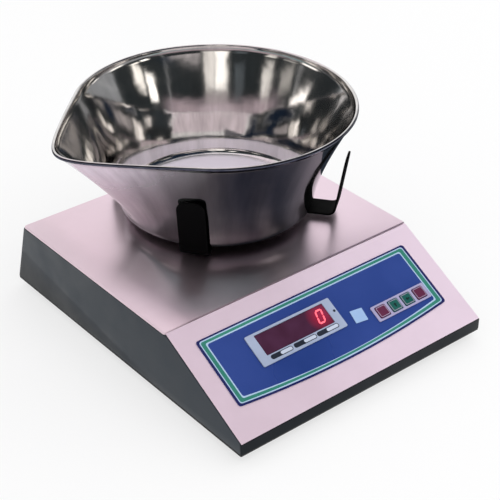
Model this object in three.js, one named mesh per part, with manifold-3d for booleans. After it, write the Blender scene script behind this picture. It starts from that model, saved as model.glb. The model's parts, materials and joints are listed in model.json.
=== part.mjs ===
// Electronic counter scale: wedge housing, stainless pan, and a spouted bowl in a strip cradle.
// Millimetres. X runs across the scale, Y from the front lip to the back, Z up from the table.
import * as THREE from "three";
import { mergeVertices } from "three/addons/utils/BufferGeometryUtils.js";
import Module from "manifold-3d";

const wasm = await Module();
wasm.setup();

// Overall shape
const bodyWidth = 300;
const panDepth = 238;
const consoleDepth = 108;
const panTop = 72.6;
const lipHeight = 14.1;
const backLean = 22;
const footHeight = 9;

// Clearances and how far a cut runs past the face it opens
const seat = 0.3;
const overrun = 3;
const mergeGap = 0.0001;

// Sheet metal
const wall = 1.5;
const edgeBend = 1;
const plateThick = 1.6;
const panThick = 0.9;
const panRim = 2.6;
const panGap = 0.7;
const panCorner = 2.5;
const panelThick = 0.8;
const panelGap = 1.1;

// Housing tabs and their screws
const tabLength = 14;
const tabWidth = 16;
const tabThick = 4;
const tabFrontY = 62;
const tabBackY = 300;
const tabScrewInset = 8;
const tabScrewRadius = 2;
const tabHeadRadius = 4;
const tabHeadHeight = 2.2;

// Overlay, display and keys, placed on the console by their centres
const labelWidth = 258;
const labelEndHeight = 72.1;
const labelTopT = 102.4;
const labelBow = 6.9;
const labelThick = 0.4;
const labelCorner = 3;
const labelCentreX = -0.7;
const bezelMargin = 9.5;
const bezelHeight = 33.4;
const bezelThick = 1.2;
const bezelCorner = 1.5;
const bezelCentreX = -35.4;
const bezelCentreT = 69;
const windowMargin = 3.8;
const windowHeight = 22.5;
const windowCorner = 0.8;
const windowRise = 3.1;
const windowThick = 2;
const windowSink = 0.4;
const collarWall = 1.2;
const collarDepth = 3.4;
const digitCount = 6;
const digitPitch = 12.5;
const moduleHeight = 19;
const moduleThick = 8;
const digitGroove = 0.8;
const boardThick = 1.6;
const displayBoardMargin = 3.2;
const displayBoardHeight = 31;
const pegRadius = 1.8;
const pegInset = 4;
const stickerWidth = 14.2;
const stickerHeight = 13.6;
const stickerThick = 0.3;
const stickerCorner = 0.6;
const stickerTurn = -0.12;
const stickerCentreX = 33;
const stickerCentreT = 56.5;
const keyFrameMargin = 1.9;
const keyFrameHeight = 17;
const keyFrameThick = 0.8;
const keyFrameCorner = 1;
const keyFrameCentreX = 82.8;
const keyFrameCentreT = 49.6;
const keyCount = 4;
const keyPitch = 16.4;
const keyWidth = 12.6;
const keyHeight = 12;
const keyCorner = 1.6;
const keyThick = 1.1;
const keyClearance = 0.5;
const keyTravel = 0.4;
const keyStemRadius = 1.5;
const keyStemLength = 7;
const switchSize = 6;
const switchThick = 3.5;
const switchButtonRadius = 1.6;
const switchButtonRise = 0.8;
const keyBoardMargin = 2;
const keyBoardHeight = 17;

// Switch and inlet on the right wall
const switchY = 322;
const switchZ = 34;
const switchLength = 19;
const switchTall = 13;
const switchDepth = 17;
const switchFlange = 1.5;
const switchRim = 2;
const switchWall = 1.2;
const rockerPivotDepth = 3;
const rockerPivotRadius = 1.5;
const rockerReach = 7.4;
const rockerCrown = 3.2;
const rockerTilt = 0.12;
const socketY = 292;
const socketRadius = 5.5;
const socketFlangeRadius = 7.5;
const socketFlange = 1.5;
const socketDepth = 13;
const socketBore = 3.2;
const socketBoreDepth = 9;
const socketPinRadius = 1;

// Weighing works
const beamWidth = 52;
const beamLength = 190;
const beamThick = 4;
const beamFlange = 9;
const cellLength = 130;
const cellWidth = 30;
const cellHeight = 24;
const cellHoleRadius = 7.5;
const cellHoleSpread = 18;
const cellSlot = 3;
const spacerLength = 34;
const spacerThick = 6;
const boltRadius = 3;
const boltHeadRadius = 5;
const boltHeadHeight = 4;
const boltReach = 14;
const boltSpread = 18;
const boltTip = 1;
const hubWidth = 50;
const hubLength = 118;
const spiderThick = 4;
const spiderReachX = 95;
const spiderReachY = 75;
const spiderRootWidth = 30;
const spiderTipRadius = 10;
const ribThick = 3;
const ribHeight = 5;
const pillarRadius = 4;
const pillarFootRadius = 6.5;
const pillarFootHeight = 4;
const bushRadius = 6.5;
const bushWall = 1.8;
const bushLength = 9;
const bushTopThick = 2;
const deckHoleRadius = 8.5;
const stopRadius = 3;
const stopBaseRadius = 8;
const stopBaseHeight = 5;
const stopNutRadius = 5.5;
const stopNutHeight = 5;
const cellTravel = 0.25;

// Battery and main board
const batteryWidth = 70;
const batteryLength = 101;
const batteryHeight = 47;
const batteryEdge = 2;
const batteryCentreX = -104;
const terminalWidth = 4.8;
const terminalThick = 0.8;
const terminalHeight = 6;
const terminalSpread = 40;
const strapWidth = 16;
const strapThick = 1.2;
const strapFoot = 12;
const mainBoardWidth = 78;
const mainBoardLength = 96;
const mainBoardCentreX = 84;
const mainBoardRise = 8;
const chipSize = 14;
const chipThick = 2.2;
const capacitorRadius = 5;
const capacitorHeight = 12;
const capacitorPitch = 11;
const capacitorShare = 0.25;
const relayWidth = 15;
const relayLength = 19;
const relayHeight = 11;
const postRadius = 3;

// Levelling feet
const footInsetX = 32;
const footFrontY = 34;
const footBackY = 328;
const footPadRadius = 12;
const footPadThick = 3;
const footPadTaper = 1.5;
const footWheelRadius = 13;
const footWheelThick = 4;
const footNotchCount = 12;
const footNotchDepth = 0.8;
const footLandShare = 0.5;
const footNotchShare = 0.75;
const footStudRadius = 4;
const footStudTop = 4;
const footNutRadius = 7.5;
const footNutHeight = 6;
const footPivotRadius = 2.5;
const footPivotHeight = 1.6;

// Cradle: its own centre and turn on the pan
const cradleX = 37.9;
const cradleY = 260.1;
const cradleTurn = (-52.3 * Math.PI) / 180;
const cradleLift = 3;
const stripWidth = 28;
const stripThick = 2;
const cradleReach = 118.3;
const armHeight = 65;
const armLean = 0.163;
const armBend = 9;
const armTipCorner = 10;
const joggleLength = 34;
const joggleRamp = 8;
const joggleDrop = 2.3;
const rivetRadius = 4;
const rivetHeadRadius = 6;
const padRadius = 7;
const padPlace = 62;

// Bowl
const bowlX = 27.2;
const bowlY = 258.2;
const bowlDepth = 106.2;
const bowlWall = 1.2;
const bowlBaseRadius = 92;
const bowlFootRadius = 99.5;
const bowlFootHeight = 8.5;
const bowlRimRadius = 141.5;
const beadRadius = 1.8;
const spoutReach = 185.3;
const spoutLift = 5.2;
const spoutTurn = (180.8 * Math.PI) / 180;
const spoutRounding = 0.12;
const bowlSides = 64;
const bowlCrowdShare = 0.55;
const bowlFlare = 1.4;
const spoutSpread = 2.2;
const beadStart = -Math.PI / 3;
const beadSweep = (4 * Math.PI) / 3;

// Facets
const roundSides = 20;
const smallSides = 10;
const curveSteps = 3;
const bowSteps = 10;
const beadSteps = 5;
const wallSteps = 6;
const hexSides = 6;
const bendSteps = 4;

// Places worked out from the sizes
const halfWidth = bodyWidth / 2;
const panBackY = consoleDepth + panDepth;
const panCentreY = consoleDepth + panDepth / 2;
const panTopZ = footHeight + panTop;
const deckZ = panTopZ - panRim - panGap;
const lipZ = footHeight + lipHeight;
const plateTopZ = footHeight + plateThick;
const consoleRise = panTop - lipHeight;
const consoleAngle = Math.atan2(consoleRise, consoleDepth);
const consoleLength = Math.hypot(consoleRise, consoleDepth);
const backAngle = Math.atan2(backLean, panTop);
const skinDepth = panelThick + seat;
const cradleZ = panTopZ + cradleLift;
const bowlZ = cradleZ + stripThick + seat;
const labelTop = seat + labelThick;
const trimBottom = labelTop + seat;
const bezelTop = trimBottom + bezelThick;
const windowTop = bezelTop - windowSink;
const windowBottom = windowTop - windowThick;
const moduleTop = windowBottom - seat;
const displayBoardTop = moduleTop - moduleThick - seat;
const windowWidth = digitCount * digitPitch + 2 * windowMargin;
const bezelWidth = windowWidth + 2 * bezelMargin;
const displayBoardWidth = bezelWidth + 2 * displayBoardMargin;
const keyFrameWidth = keyCount * keyPitch + 2 * keyFrameMargin;
const keyBoardWidth = keyFrameWidth + 2 * keyBoardMargin;
const collarWidth = windowWidth + 2 * collarWall;
const collarHeight = windowHeight + 2 * collarWall;
const keyBottom = labelTop + keyTravel + seat;
const stemBottom = keyBottom - keyStemLength;
const switchButtonTop = stemBottom - keyTravel - seat;
const keyBoardTop = switchButtonTop - switchButtonRise - switchThick;

// Finishes
function finish(color, roughness, metalness) {
  return new THREE.MeshStandardMaterial({ color, roughness, metalness });
}

const finishes = {
  polishedSteel: finish(0xc9c4c8, 0.18, 1),
  paleSteel: finish(0xe6d6df, 0.3, 0.7),
  slatePaint: finish(0x444b54, 0.55, 0.1),
  blackPaint: finish(0x141416, 0.6, 0.1),
  blackCoat: finish(0x0c0c0d, 0.45, 0),
  blueFilm: finish(0x234187, 0.35, 0),
  paleFilm: finish(0xb9c3d7, 0.4, 0),
  redFilter: finish(0x4a1f35, 0.1, 0),
  ledBody: finish(0x2a2a2c, 0.5, 0),
  boardGreen: finish(0x1f5c3a, 0.5, 0),
  maroonKey: finish(0x822d4b, 0.4, 0),
  greenKey: finish(0x197355, 0.4, 0),
  lavenderFilm: finish(0xa9a4bd, 0.4, 0),
  skyFilm: finish(0xbed7f0, 0.4, 0),
  aluminium: finish(0xb4b7ba, 0.4, 0.9),
  zincSteel: finish(0x9aa0a4, 0.45, 0.8),
  blackRubber: finish(0x1a1a1a, 0.9, 0),
  blackPlastic: finish(0x1c1c1e, 0.5, 0),
  redPlastic: finish(0xa81f22, 0.35, 0),
  batteryCase: finish(0x3a3d42, 0.6, 0),
};

// Solids
function toSolid(geometry) {
  const bare = geometry.index ? geometry.toNonIndexed() : geometry.clone();
  for (const key of Object.keys(bare.attributes)) {
    if (key !== "position") bare.deleteAttribute(key);
  }
  const merged = mergeVertices(bare, mergeGap);
  const vertProperties = merged.attributes.position.array;
  const triVerts = new Uint32Array(merged.index.array);
  return new wasm.Manifold(new wasm.Mesh({ numProp: 3, vertProperties, triVerts }));
}

function toGeometry(solid) {
  const mesh = solid.getMesh();
  const geometry = new THREE.BufferGeometry();
  const places = new Float32Array(mesh.vertProperties);
  geometry.setAttribute("position", new THREE.BufferAttribute(places, 3));
  geometry.setIndex(new THREE.BufferAttribute(new Uint32Array(mesh.triVerts), 1));
  const faceted = geometry.toNonIndexed();
  faceted.computeVertexNormals();
  return faceted;
}

function join(solids) {
  return solids.reduce((whole, piece) => whole.add(piece));
}

function cut(solid, tools) {
  return tools.reduce((whole, tool) => whole.subtract(tool), solid);
}

function span(centre, length) {
  return [centre - length / 2, centre + length / 2];
}

function block(x, y, z) {
  const geometry = new THREE.BoxGeometry(x[1] - x[0], y[1] - y[0], z[1] - z[0]);
  geometry.translate((x[0] + x[1]) / 2, (y[0] + y[1]) / 2, (z[0] + z[1]) / 2);
  return toSolid(geometry);
}

// The outline's own plane is YZ for a prism along X, XZ along Y and XY along Z.
const prismFrames = {
  x: [new THREE.Vector3(0, 1, 0), new THREE.Vector3(0, 0, 1), new THREE.Vector3(1, 0, 0)],
  y: [new THREE.Vector3(1, 0, 0), new THREE.Vector3(0, 0, 1), new THREE.Vector3(0, -1, 0)],
  z: [new THREE.Vector3(1, 0, 0), new THREE.Vector3(0, 1, 0), new THREE.Vector3(0, 0, 1)],
};

function prism(shape, axis, low, high, bevel = 0) {
  const geometry = new THREE.ExtrudeGeometry(shape, {
    depth: high - low - 2 * bevel,
    curveSegments: curveSteps,
    bevelEnabled: bevel > 0,
    bevelThickness: bevel,
    bevelSize: bevel,
    bevelOffset: -bevel,
    bevelSegments: 2,
  });
  const start = axis === "y" ? -high : low;
  geometry.translate(0, 0, start + bevel);
  geometry.applyMatrix4(new THREE.Matrix4().makeBasis(...prismFrames[axis]));
  return toSolid(geometry);
}

function outlineOf(points) {
  return new THREE.Shape(points.map(([a, b]) => new THREE.Vector2(a, b)));
}

function polygon(sides, radius, a = 0, b = 0) {
  const points = [];
  for (let i = 0; i < sides; i++) {
    const angle = (i * 2 * Math.PI) / sides;
    points.push([a + radius * Math.cos(angle), b + radius * Math.sin(angle)]);
  }
  return outlineOf(points);
}

function rod(axis, radius, low, high, a = 0, b = 0, sides = roundSides) {
  return prism(polygon(sides, radius, a, b), axis, low, high);
}

function roundedRectangle(a, b, radius) {
  const quarter = Math.PI / 2;
  const shape = new THREE.Shape();
  shape.absarc(a[1] - radius, b[0] + radius, radius, -quarter, 0);
  shape.absarc(a[1] - radius, b[1] - radius, radius, 0, quarter);
  shape.absarc(a[0] + radius, b[1] - radius, radius, quarter, 2 * quarter);
  shape.absarc(a[0] + radius, b[0] + radius, radius, 2 * quarter, 3 * quarter);
  return shape;
}

// A rectangle whose lower side bows out by the given depth, with rounded corners
function bowedRectangle(left, right, low, high, bow, radius) {
  const shape = new THREE.Shape();
  const middle = (left + right) / 2;
  const half = (right - left) / 2 - radius;
  for (let i = 0; i <= bowSteps; i++) {
    const side = (2 * i) / bowSteps - 1;
    const point = new THREE.Vector2(middle + half * side, low - bow * (1 - side * side));
    if (i === 0) shape.moveTo(point.x, point.y);
    else shape.lineTo(point.x, point.y);
  }
  shape.quadraticCurveTo(right, low, right, low + radius);
  shape.lineTo(right, high - radius);
  shape.quadraticCurveTo(right, high, right - radius, high);
  shape.lineTo(left + radius, high);
  shape.quadraticCurveTo(left, high, left, high - radius);
  shape.lineTo(left, low + radius);
  shape.quadraticCurveTo(left, low, left + radius, low);
  return shape;
}

function lathe(profile, x = 0, y = 0, sides = roundSides) {
  const points = profile.map(([radius, z]) => new THREE.Vector2(radius, z));
  const geometry = new THREE.LatheGeometry(points, sides);
  geometry.rotateX(Math.PI / 2);
  geometry.translate(x, y, 0);
  return toSolid(geometry);
}

// A closed skin over rings of equally many points, with a point at each end.
function skin(first, rings, last) {
  const places = [first, ...rings.flat(), last].flatMap((p) => [p.x, p.y, p.z]);
  const count = rings[0].length;
  const end = rings.length * count + 1;
  const faces = [];
  for (let i = 0; i < count; i++) {
    const next = (i + 1) % count;
    faces.push(0, 1 + next, 1 + i);
    for (let r = 0; r + 1 < rings.length; r++) {
      const low = 1 + r * count;
      const high = low + count;
      faces.push(low + i, low + next, high + next, low + i, high + next, high + i);
    }
    const top = end - count;
    faces.push(top + i, top + next, end);
  }
  const geometry = new THREE.BufferGeometry();
  geometry.setAttribute("position", new THREE.Float32BufferAttribute(places, 3));
  geometry.setIndex(faces);
  return toSolid(geometry);
}

// Scene graph
const scale = new THREE.Group();
const consoleFace = new THREE.Group();
consoleFace.position.set(0, 0, lipZ);
consoleFace.rotation.x = consoleAngle;
scale.add(consoleFace);

function add(parent, name, solid, material) {
  const mesh = new THREE.Mesh(toGeometry(solid), material);
  mesh.name = name;
  parent.add(mesh);
  return mesh;
}

function onConsole(solid) {
  consoleFace.updateMatrix();
  const geometry = toGeometry(solid);
  geometry.applyMatrix4(consoleFace.matrix);
  return toSolid(geometry);
}

// Housing: the section is the same all the way across, with each face set in by the same amount.
function backWallY(z, inset) {
  return panBackY + (panTopZ - z) * Math.tan(backAngle) - inset / Math.cos(backAngle);
}

function slopeZ(y, inset) {
  return lipZ + y * Math.tan(consoleAngle) - (skinDepth + inset) / Math.cos(consoleAngle);
}

function slopeY(z, inset) {
  return (z - lipZ + (skinDepth + inset) / Math.cos(consoleAngle)) / Math.tan(consoleAngle);
}

function housingSection(inset, bottom) {
  const top = deckZ - inset;
  return outlineOf([
    [inset, bottom],
    [backWallY(bottom, inset), bottom],
    [backWallY(top, inset), top],
    [slopeY(top, inset), top],
    [inset, slopeZ(inset, inset)],
  ]);
}

const pillarPlaces = [-1, 1].flatMap((sx) =>
  [-1, 1].map((sy) => [sx * spiderReachX, panCentreY + sy * spiderReachY]),
);
const tabPlaces = [-1, 1].flatMap((sx) => [tabFrontY, tabBackY].map((y) => [sx, y]));
const keyPlaces = [];
for (let i = 0; i < keyCount; i++) {
  keyPlaces.push(keyFrameCentreX + (i - (keyCount - 1) / 2) * keyPitch);
}

function pegs(centreX, centreT, width, height, boardTop) {
  const places = [-1, 1].flatMap((sx) => [-1, 1].map((st) => [sx, st]));
  return places.map(([sx, st]) =>
    rod(
      "z",
      pegRadius,
      boardTop + seat,
      -skinDepth - wall / 2,
      centreX + sx * (width / 2 - pegInset),
      centreT + st * (height / 2 - pegInset),
      smallSides,
    ),
  );
}

function displayOpening(low, high, clearance) {
  return block(
    span(bezelCentreX, collarWidth + 2 * clearance),
    span(bezelCentreT + windowRise, collarHeight + 2 * clearance),
    [low, high],
  );
}

function stemHoles(low, high) {
  const radius = keyStemRadius + keyClearance;
  return keyPlaces.map((x) => rod("z", radius, low, high, x, keyFrameCentreT, smallSides));
}

function makeHousing() {
  const bottom = plateTopZ + seat;
  const outside = prism(housingSection(0, bottom), "x", -halfWidth, halfWidth, edgeBend);
  const innerHalf = halfWidth - wall;
  const inside = prism(housingSection(wall, bottom - overrun), "x", -innerHalf, innerHalf);
  const tabs = tabPlaces.map(([sx, y]) => {
    const edge = sx * (halfWidth - wall / 2);
    const tip = sx * (innerHalf - tabLength);
    const x = [Math.min(edge, tip), Math.max(edge, tip)];
    return block(x, span(y, tabWidth), [bottom, bottom + tabThick]);
  });
  const pegDepth = pegs(bezelCentreX, bezelCentreT, displayBoardWidth, displayBoardHeight, displayBoardTop);
  const keyPegs = pegs(keyFrameCentreX, keyFrameCentreT, keyBoardWidth, keyBoardHeight, keyBoardTop);
  const holes = [
    ...pillarPlaces.map(([x, y]) => rod("z", deckHoleRadius, deckZ - wall - overrun, deckZ + overrun, x, y)),
    ...tabPlaces.map(([sx, y]) => {
      const high = bottom + tabThick + overrun;
      return rod("z", tabScrewRadius + seat, bottom - overrun, high, sx * tabScrewX, y, smallSides);
    }),
    onConsole(displayOpening(-skinDepth - wall - overrun, overrun, seat)),
    ...stemHoles(-skinDepth - wall - overrun, overrun).map(onConsole),
    block(
      [innerHalf - overrun, halfWidth + overrun],
      span(switchY, switchLength + 2 * seat),
      span(switchZ, switchTall + 2 * seat),
    ),
    rod("x", socketRadius + seat, innerHalf - overrun, halfWidth + overrun, socketY, switchZ, smallSides),
  ];
  const shell = cut(outside, [inside]);
  return cut(join([shell, ...tabs, ...[...pegDepth, ...keyPegs].map(onConsole)]), holes);
}

const tabScrewX = halfWidth - wall - tabScrewInset;
const footPlaces = [footFrontY, footBackY].flatMap((y) =>
  [-1, 1].map((sx) => [sx * (halfWidth - footInsetX), y]),
);
const lowerBoltPlaces = [-1, 1].map((side) => cellFrontY() + spacerLength / 2 + (side * boltSpread) / 2);
const upperBoltPlaces = [-1, 1].map((side) => cellBackY() - spacerLength / 2 + (side * boltSpread) / 2);

function cellFrontY() {
  return panCentreY - cellLength / 2;
}

function cellBackY() {
  return panCentreY + cellLength / 2;
}

function makeBasePlate() {
  const backY = backWallY(plateTopZ, 0) - seat;
  const sheet = prism(
    roundedRectangle([-halfWidth + seat, halfWidth - seat], [seat, backY], edgeBend),
    "z",
    footHeight,
    plateTopZ,
  );
  const nuts = footPlaces.map(([x, y]) =>
    rod("z", footNutRadius, plateTopZ - plateThick / 2, plateTopZ + footNutHeight, x, y, hexSides),
  );
  const low = footHeight - overrun;
  const high = plateTopZ + footNutHeight + overrun;
  const holes = [
    ...footPlaces.map(([x, y]) => rod("z", footStudRadius + seat, low, high, x, y)),
    ...tabPlaces.map(([sx, y]) => rod("z", tabScrewRadius + seat, low, high, sx * tabScrewX, y, smallSides)),
    ...lowerBoltPlaces.map((y) => rod("z", boltRadius + seat, low, high, 0, y, smallSides)),
  ];
  return cut(join([sheet, ...nuts]), holes);
}

function makeScrew(headRadius, headHeight, shankRadius, headBottom, tip, x, y, up) {
  const headTop = headBottom + headHeight;
  const head = rod("z", headRadius, headBottom, headTop, x, y, smallSides);
  const root = (headBottom + headTop) / 2;
  const shank = up
    ? rod("z", shankRadius, root, tip, x, y, smallSides)
    : rod("z", shankRadius, tip, root, x, y, smallSides);
  return head.add(shank);
}

function makePan() {
  const y = [consoleDepth, panBackY];
  const x = [-halfWidth, halfWidth];
  const low = panTopZ - panRim;
  const edge = panThick;
  const outside = prism(roundedRectangle(x, y, panCorner), "z", low - overrun, panTopZ, edge);
  const innerX = [x[0] + panThick, x[1] - panThick];
  const innerY = [y[0] + panThick, y[1] - panThick];
  const opening = roundedRectangle(innerX, innerY, panCorner - panThick);
  const inside = prism(opening, "z", low - 2 * overrun, panTopZ - panThick);
  const aroundX = [x[0] - overrun, x[1] + overrun];
  const aroundY = [y[0] - overrun, y[1] + overrun];
  const below = block(aroundX, aroundY, [low - 2 * overrun, low]);
  return cut(outside, [inside, below]);
}

// Console pieces, in the sloped face's own frame: X across, Y up the slope, Z out of it
function makeFrontPanel() {
  const panelHalf = halfWidth - edgeBend;
  const sheet = block([-panelHalf, panelHalf], [0, consoleLength - panelGap], [-panelThick, 0]);
  const low = -panelThick - overrun;
  return cut(sheet, [displayOpening(low, overrun, seat), ...stemHoles(low, overrun)]);
}

function makeLabel() {
  const [left, right] = span(labelCentreX, labelWidth);
  const low = labelTopT - labelEndHeight;
  const film = prism(bowedRectangle(left, right, low, labelTopT, labelBow, labelCorner), "z", seat, labelTop);
  return cut(film, [displayOpening(-overrun, overrun, seat), ...stemHoles(-overrun, overrun)]);
}

function makeBezel() {
  const x = span(bezelCentreX, bezelWidth);
  const t = span(bezelCentreT, bezelHeight);
  const plate = prism(roundedRectangle(x, t, bezelCorner), "z", trimBottom, bezelTop);
  const collar = displayOpening(-collarDepth, trimBottom + bezelThick / 2, 0);
  const opening = prism(
    roundedRectangle(
      span(bezelCentreX, windowWidth),
      span(bezelCentreT + windowRise, windowHeight),
      windowCorner,
    ),
    "z",
    -collarDepth - overrun,
    bezelTop + overrun,
  );
  return cut(plate.add(collar), [opening]);
}

function makeWindow() {
  const x = span(bezelCentreX, windowWidth - 2 * seat);
  const t = span(bezelCentreT + windowRise, windowHeight - 2 * seat);
  return prism(roundedRectangle(x, t, windowCorner), "z", windowBottom, windowTop);
}

function makeDisplayModule() {
  const width = digitCount * digitPitch;
  const centreT = bezelCentreT + windowRise;
  const body = block(
    span(bezelCentreX, width),
    span(centreT, moduleHeight),
    [moduleTop - moduleThick, moduleTop],
  );
  const grooves = [];
  for (let i = 1; i < digitCount; i++) {
    const x = bezelCentreX - width / 2 + i * digitPitch;
    const depth = [moduleTop - digitGroove, moduleTop + overrun];
    grooves.push(block(span(x, digitGroove), span(centreT, moduleHeight + overrun), depth));
  }
  return cut(body, grooves);
}

function makeDisplayBoard() {
  return block(
    span(bezelCentreX, displayBoardWidth),
    span(bezelCentreT, displayBoardHeight),
    [displayBoardTop - boardThick, displayBoardTop],
  );
}

function makeKeyBoard() {
  const board = block(
    span(keyFrameCentreX, keyBoardWidth),
    span(keyFrameCentreT, keyBoardHeight),
    [keyBoardTop - boardThick, keyBoardTop],
  );
  const switches = keyPlaces.flatMap((x) => [
    block(span(x, switchSize), span(keyFrameCentreT, switchSize), [
      keyBoardTop - boardThick / 2,
      keyBoardTop + switchThick,
    ]),
    rod(
      "z",
      switchButtonRadius,
      keyBoardTop + switchThick / 2,
      switchButtonTop,
      x,
      keyFrameCentreT,
      smallSides,
    ),
  ]);
  return join([board, ...switches]);
}

function makeKeyFrame() {
  const outline = roundedRectangle(
    span(keyFrameCentreX, keyFrameWidth),
    span(keyFrameCentreT, keyFrameHeight),
    keyFrameCorner,
  );
  const plate = prism(outline, "z", trimBottom, trimBottom + keyFrameThick);
  const openings = keyPlaces.map((x) =>
    prism(
      roundedRectangle(
        span(x, keyWidth + 2 * keyClearance),
        span(keyFrameCentreT, keyHeight + 2 * keyClearance),
        keyCorner,
      ),
      "z",
      trimBottom - overrun,
      trimBottom + overrun,
    ),
  );
  return cut(plate, openings);
}

function makeKey() {
  const cap = prism(
    roundedRectangle(span(0, keyWidth), span(0, keyHeight), keyCorner),
    "z",
    keyBottom,
    keyBottom + keyThick,
  );
  return cap.add(rod("z", keyStemRadius, stemBottom, keyBottom + keyThick / 2, 0, 0, smallSides));
}

function makeSticker() {
  const outline = roundedRectangle(span(0, stickerWidth), span(0, stickerHeight), stickerCorner);
  return prism(outline, "z", trimBottom, trimBottom + stickerThick);
}

// Weighing works
const beamZ = plateTopZ + seat;
const lowerSpacerZ = beamZ + beamThick + seat;
const cellZ = lowerSpacerZ + spacerThick + seat;
const upperSpacerZ = cellZ + cellHeight + seat;
const spiderZ = upperSpacerZ + spacerThick + seat;
const spiderTopZ = spiderZ + spiderThick;
const pillarZ = spiderTopZ + seat;
const bushTopZ = panTopZ - panThick - seat;
const pillarTopZ = bushTopZ - bushTopThick - seat;

function makeLoadBeam() {
  const y = span(panCentreY, beamLength);
  const web = block(span(0, beamWidth), y, [beamZ, beamZ + beamThick]);
  const flanges = [-1, 1].map((side) =>
    block(
      span((side * (beamWidth - beamThick)) / 2, beamThick),
      y,
      [beamZ, beamZ + beamFlange],
    ),
  );
  const holes = lowerBoltPlaces.map((place) =>
    rod("z", boltRadius + seat, beamZ - overrun, beamZ + beamThick + overrun, 0, place, smallSides),
  );
  return cut(join([web, ...flanges]), holes);
}

function makeSpacer(low, centreY, boltPlaces) {
  const high = low + spacerThick;
  const body = block(span(0, cellWidth), span(centreY, spacerLength), [low, high]);
  const holes = boltPlaces.map((y) =>
    rod("z", boltRadius + seat, low - overrun, high + overrun, 0, y, smallSides),
  );
  return cut(body, holes);
}

function makeLoadCell() {
  const middleZ = cellZ + cellHeight / 2;
  const bar = block(span(0, cellWidth), span(panCentreY, cellLength), [cellZ, cellZ + cellHeight]);
  const half = cellWidth / 2 + overrun;
  const windows = [-1, 1].map((side) =>
    rod("x", cellHoleRadius, -half, half, panCentreY + (side * cellHoleSpread) / 2, middleZ),
  );
  const slot = block([-half, half], span(panCentreY, cellHoleSpread), span(middleZ, cellSlot));
  const reach = boltReach + boltTip;
  const lower = lowerBoltPlaces.map((y) =>
    rod("z", boltRadius + seat, cellZ - overrun, cellZ + reach, 0, y, smallSides),
  );
  const upper = upperBoltPlaces.map((y) =>
    rod("z", boltRadius + seat, cellZ + cellHeight - reach, cellZ + cellHeight + overrun, 0, y, smallSides),
  );
  return cut(bar, [...windows, slot, ...lower, ...upper]);
}

// One bar of the spider: wide in the middle, tapering to a round tip at each side
function spiderBar(y) {
  const quarter = Math.PI / 2;
  const outline = new THREE.Shape();
  outline.moveTo(0, y - spiderRootWidth / 2);
  outline.absarc(spiderReachX, y, spiderTipRadius, -quarter, quarter);
  outline.lineTo(0, y + spiderRootWidth / 2);
  outline.absarc(-spiderReachX, y, spiderTipRadius, quarter, 3 * quarter);
  const ribReach = spiderReachX - pillarFootRadius - ribThick;
  const ribDepth = [spiderZ + spiderThick / 2, spiderTopZ + ribHeight];
  const rib = block([-ribReach, ribReach], span(y, ribThick), ribDepth);
  return prism(outline, "z", spiderZ, spiderTopZ).add(rib);
}

function makeSpider() {
  const frontY = panCentreY - spiderReachY;
  const backY = panCentreY + spiderReachY;
  const hub = block(span(0, hubWidth), [frontY, backY], [spiderZ, spiderTopZ]);
  const window = block(
    span(0, hubWidth / 2),
    span(panCentreY - spacerLength / 2, hubLength / 2),
    [spiderZ - overrun, spiderTopZ + overrun],
  );
  const shanks = upperBoltPlaces.map((y) =>
    rod("z", boltRadius + seat, spiderZ - overrun, spiderTopZ + overrun, 0, y, smallSides),
  );
  return cut(join([hub, spiderBar(frontY), spiderBar(backY)]), [window, ...shanks]);
}

function makePillar() {
  const footRing = rod("z", pillarFootRadius, pillarZ, pillarZ + pillarFootHeight, 0, 0, hexSides);
  const stem = rod("z", pillarRadius, pillarZ + pillarFootHeight / 2, pillarTopZ, 0, 0, smallSides);
  return footRing.add(stem);
}

function makeBush() {
  const inner = pillarRadius + seat;
  const low = bushTopZ - bushLength;
  return lathe([
    [inner, low],
    [bushRadius, low],
    [bushRadius, bushTopZ - bushWall / 2],
    [bushRadius - bushWall / 2, bushTopZ],
    [0, bushTopZ],
    [0, bushTopZ - bushTopThick],
    [inner, bushTopZ - bushTopThick],
    [inner, low],
  ]);
}

function makeStop() {
  const top = spiderZ - cellTravel - seat;
  const baseTop = beamZ + stopBaseHeight;
  const base = rod("z", stopBaseRadius, beamZ, baseTop);
  const nut = rod("z", stopNutRadius, baseTop - stopBaseHeight / 2, baseTop + stopNutHeight, 0, 0, hexSides);
  return join([base, nut, rod("z", stopRadius, baseTop, top, 0, 0, smallSides)]);
}

// Battery and main board
function makeBattery() {
  const x = span(batteryCentreX, batteryWidth);
  const z = [beamZ, beamZ + batteryHeight];
  const body = prism(
    roundedRectangle(x, z, batteryEdge),
    "y",
    panCentreY - batteryLength / 2,
    panCentreY + batteryLength / 2,
  );
  const back = panCentreY + batteryLength / 2;
  const terminals = [-1, 1].map((side) =>
    block(
      span(batteryCentreX + (side * terminalSpread) / 2, terminalWidth),
      [back - terminalThick, back + terminalHeight],
      span(beamZ + batteryHeight - terminalHeight, terminalThick),
    ),
  );
  return join([body, ...terminals]);
}

function makeStrap() {
  const y = span(panCentreY, strapWidth);
  const low = beamZ;
  const top = beamZ + batteryHeight + seat + strapThick;
  const outerHalf = batteryWidth / 2 + seat + strapThick;
  const innerHalf = batteryWidth / 2 + seat;
  const x = [batteryCentreX - outerHalf, batteryCentreX + outerHalf];
  const band = prism(roundedRectangle(x, [low - batteryEdge, top], batteryEdge), "y", y[0], y[1]);
  const innerX = [batteryCentreX - innerHalf, batteryCentreX + innerHalf];
  const aroundX = [x[0] - overrun, x[1] + overrun];
  const aroundY = [y[0] - overrun, y[1] + overrun];
  const bottom = low - 2 * batteryEdge;
  const hollow = block(innerX, aroundY, [bottom, top - strapThick]);
  const below = block(aroundX, aroundY, [bottom, low]);
  const foot = block([x[1] - strapThick, x[1] + strapFoot], y, [low, low + strapThick]);
  return cut(band, [hollow, below]).add(foot);
}

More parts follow.
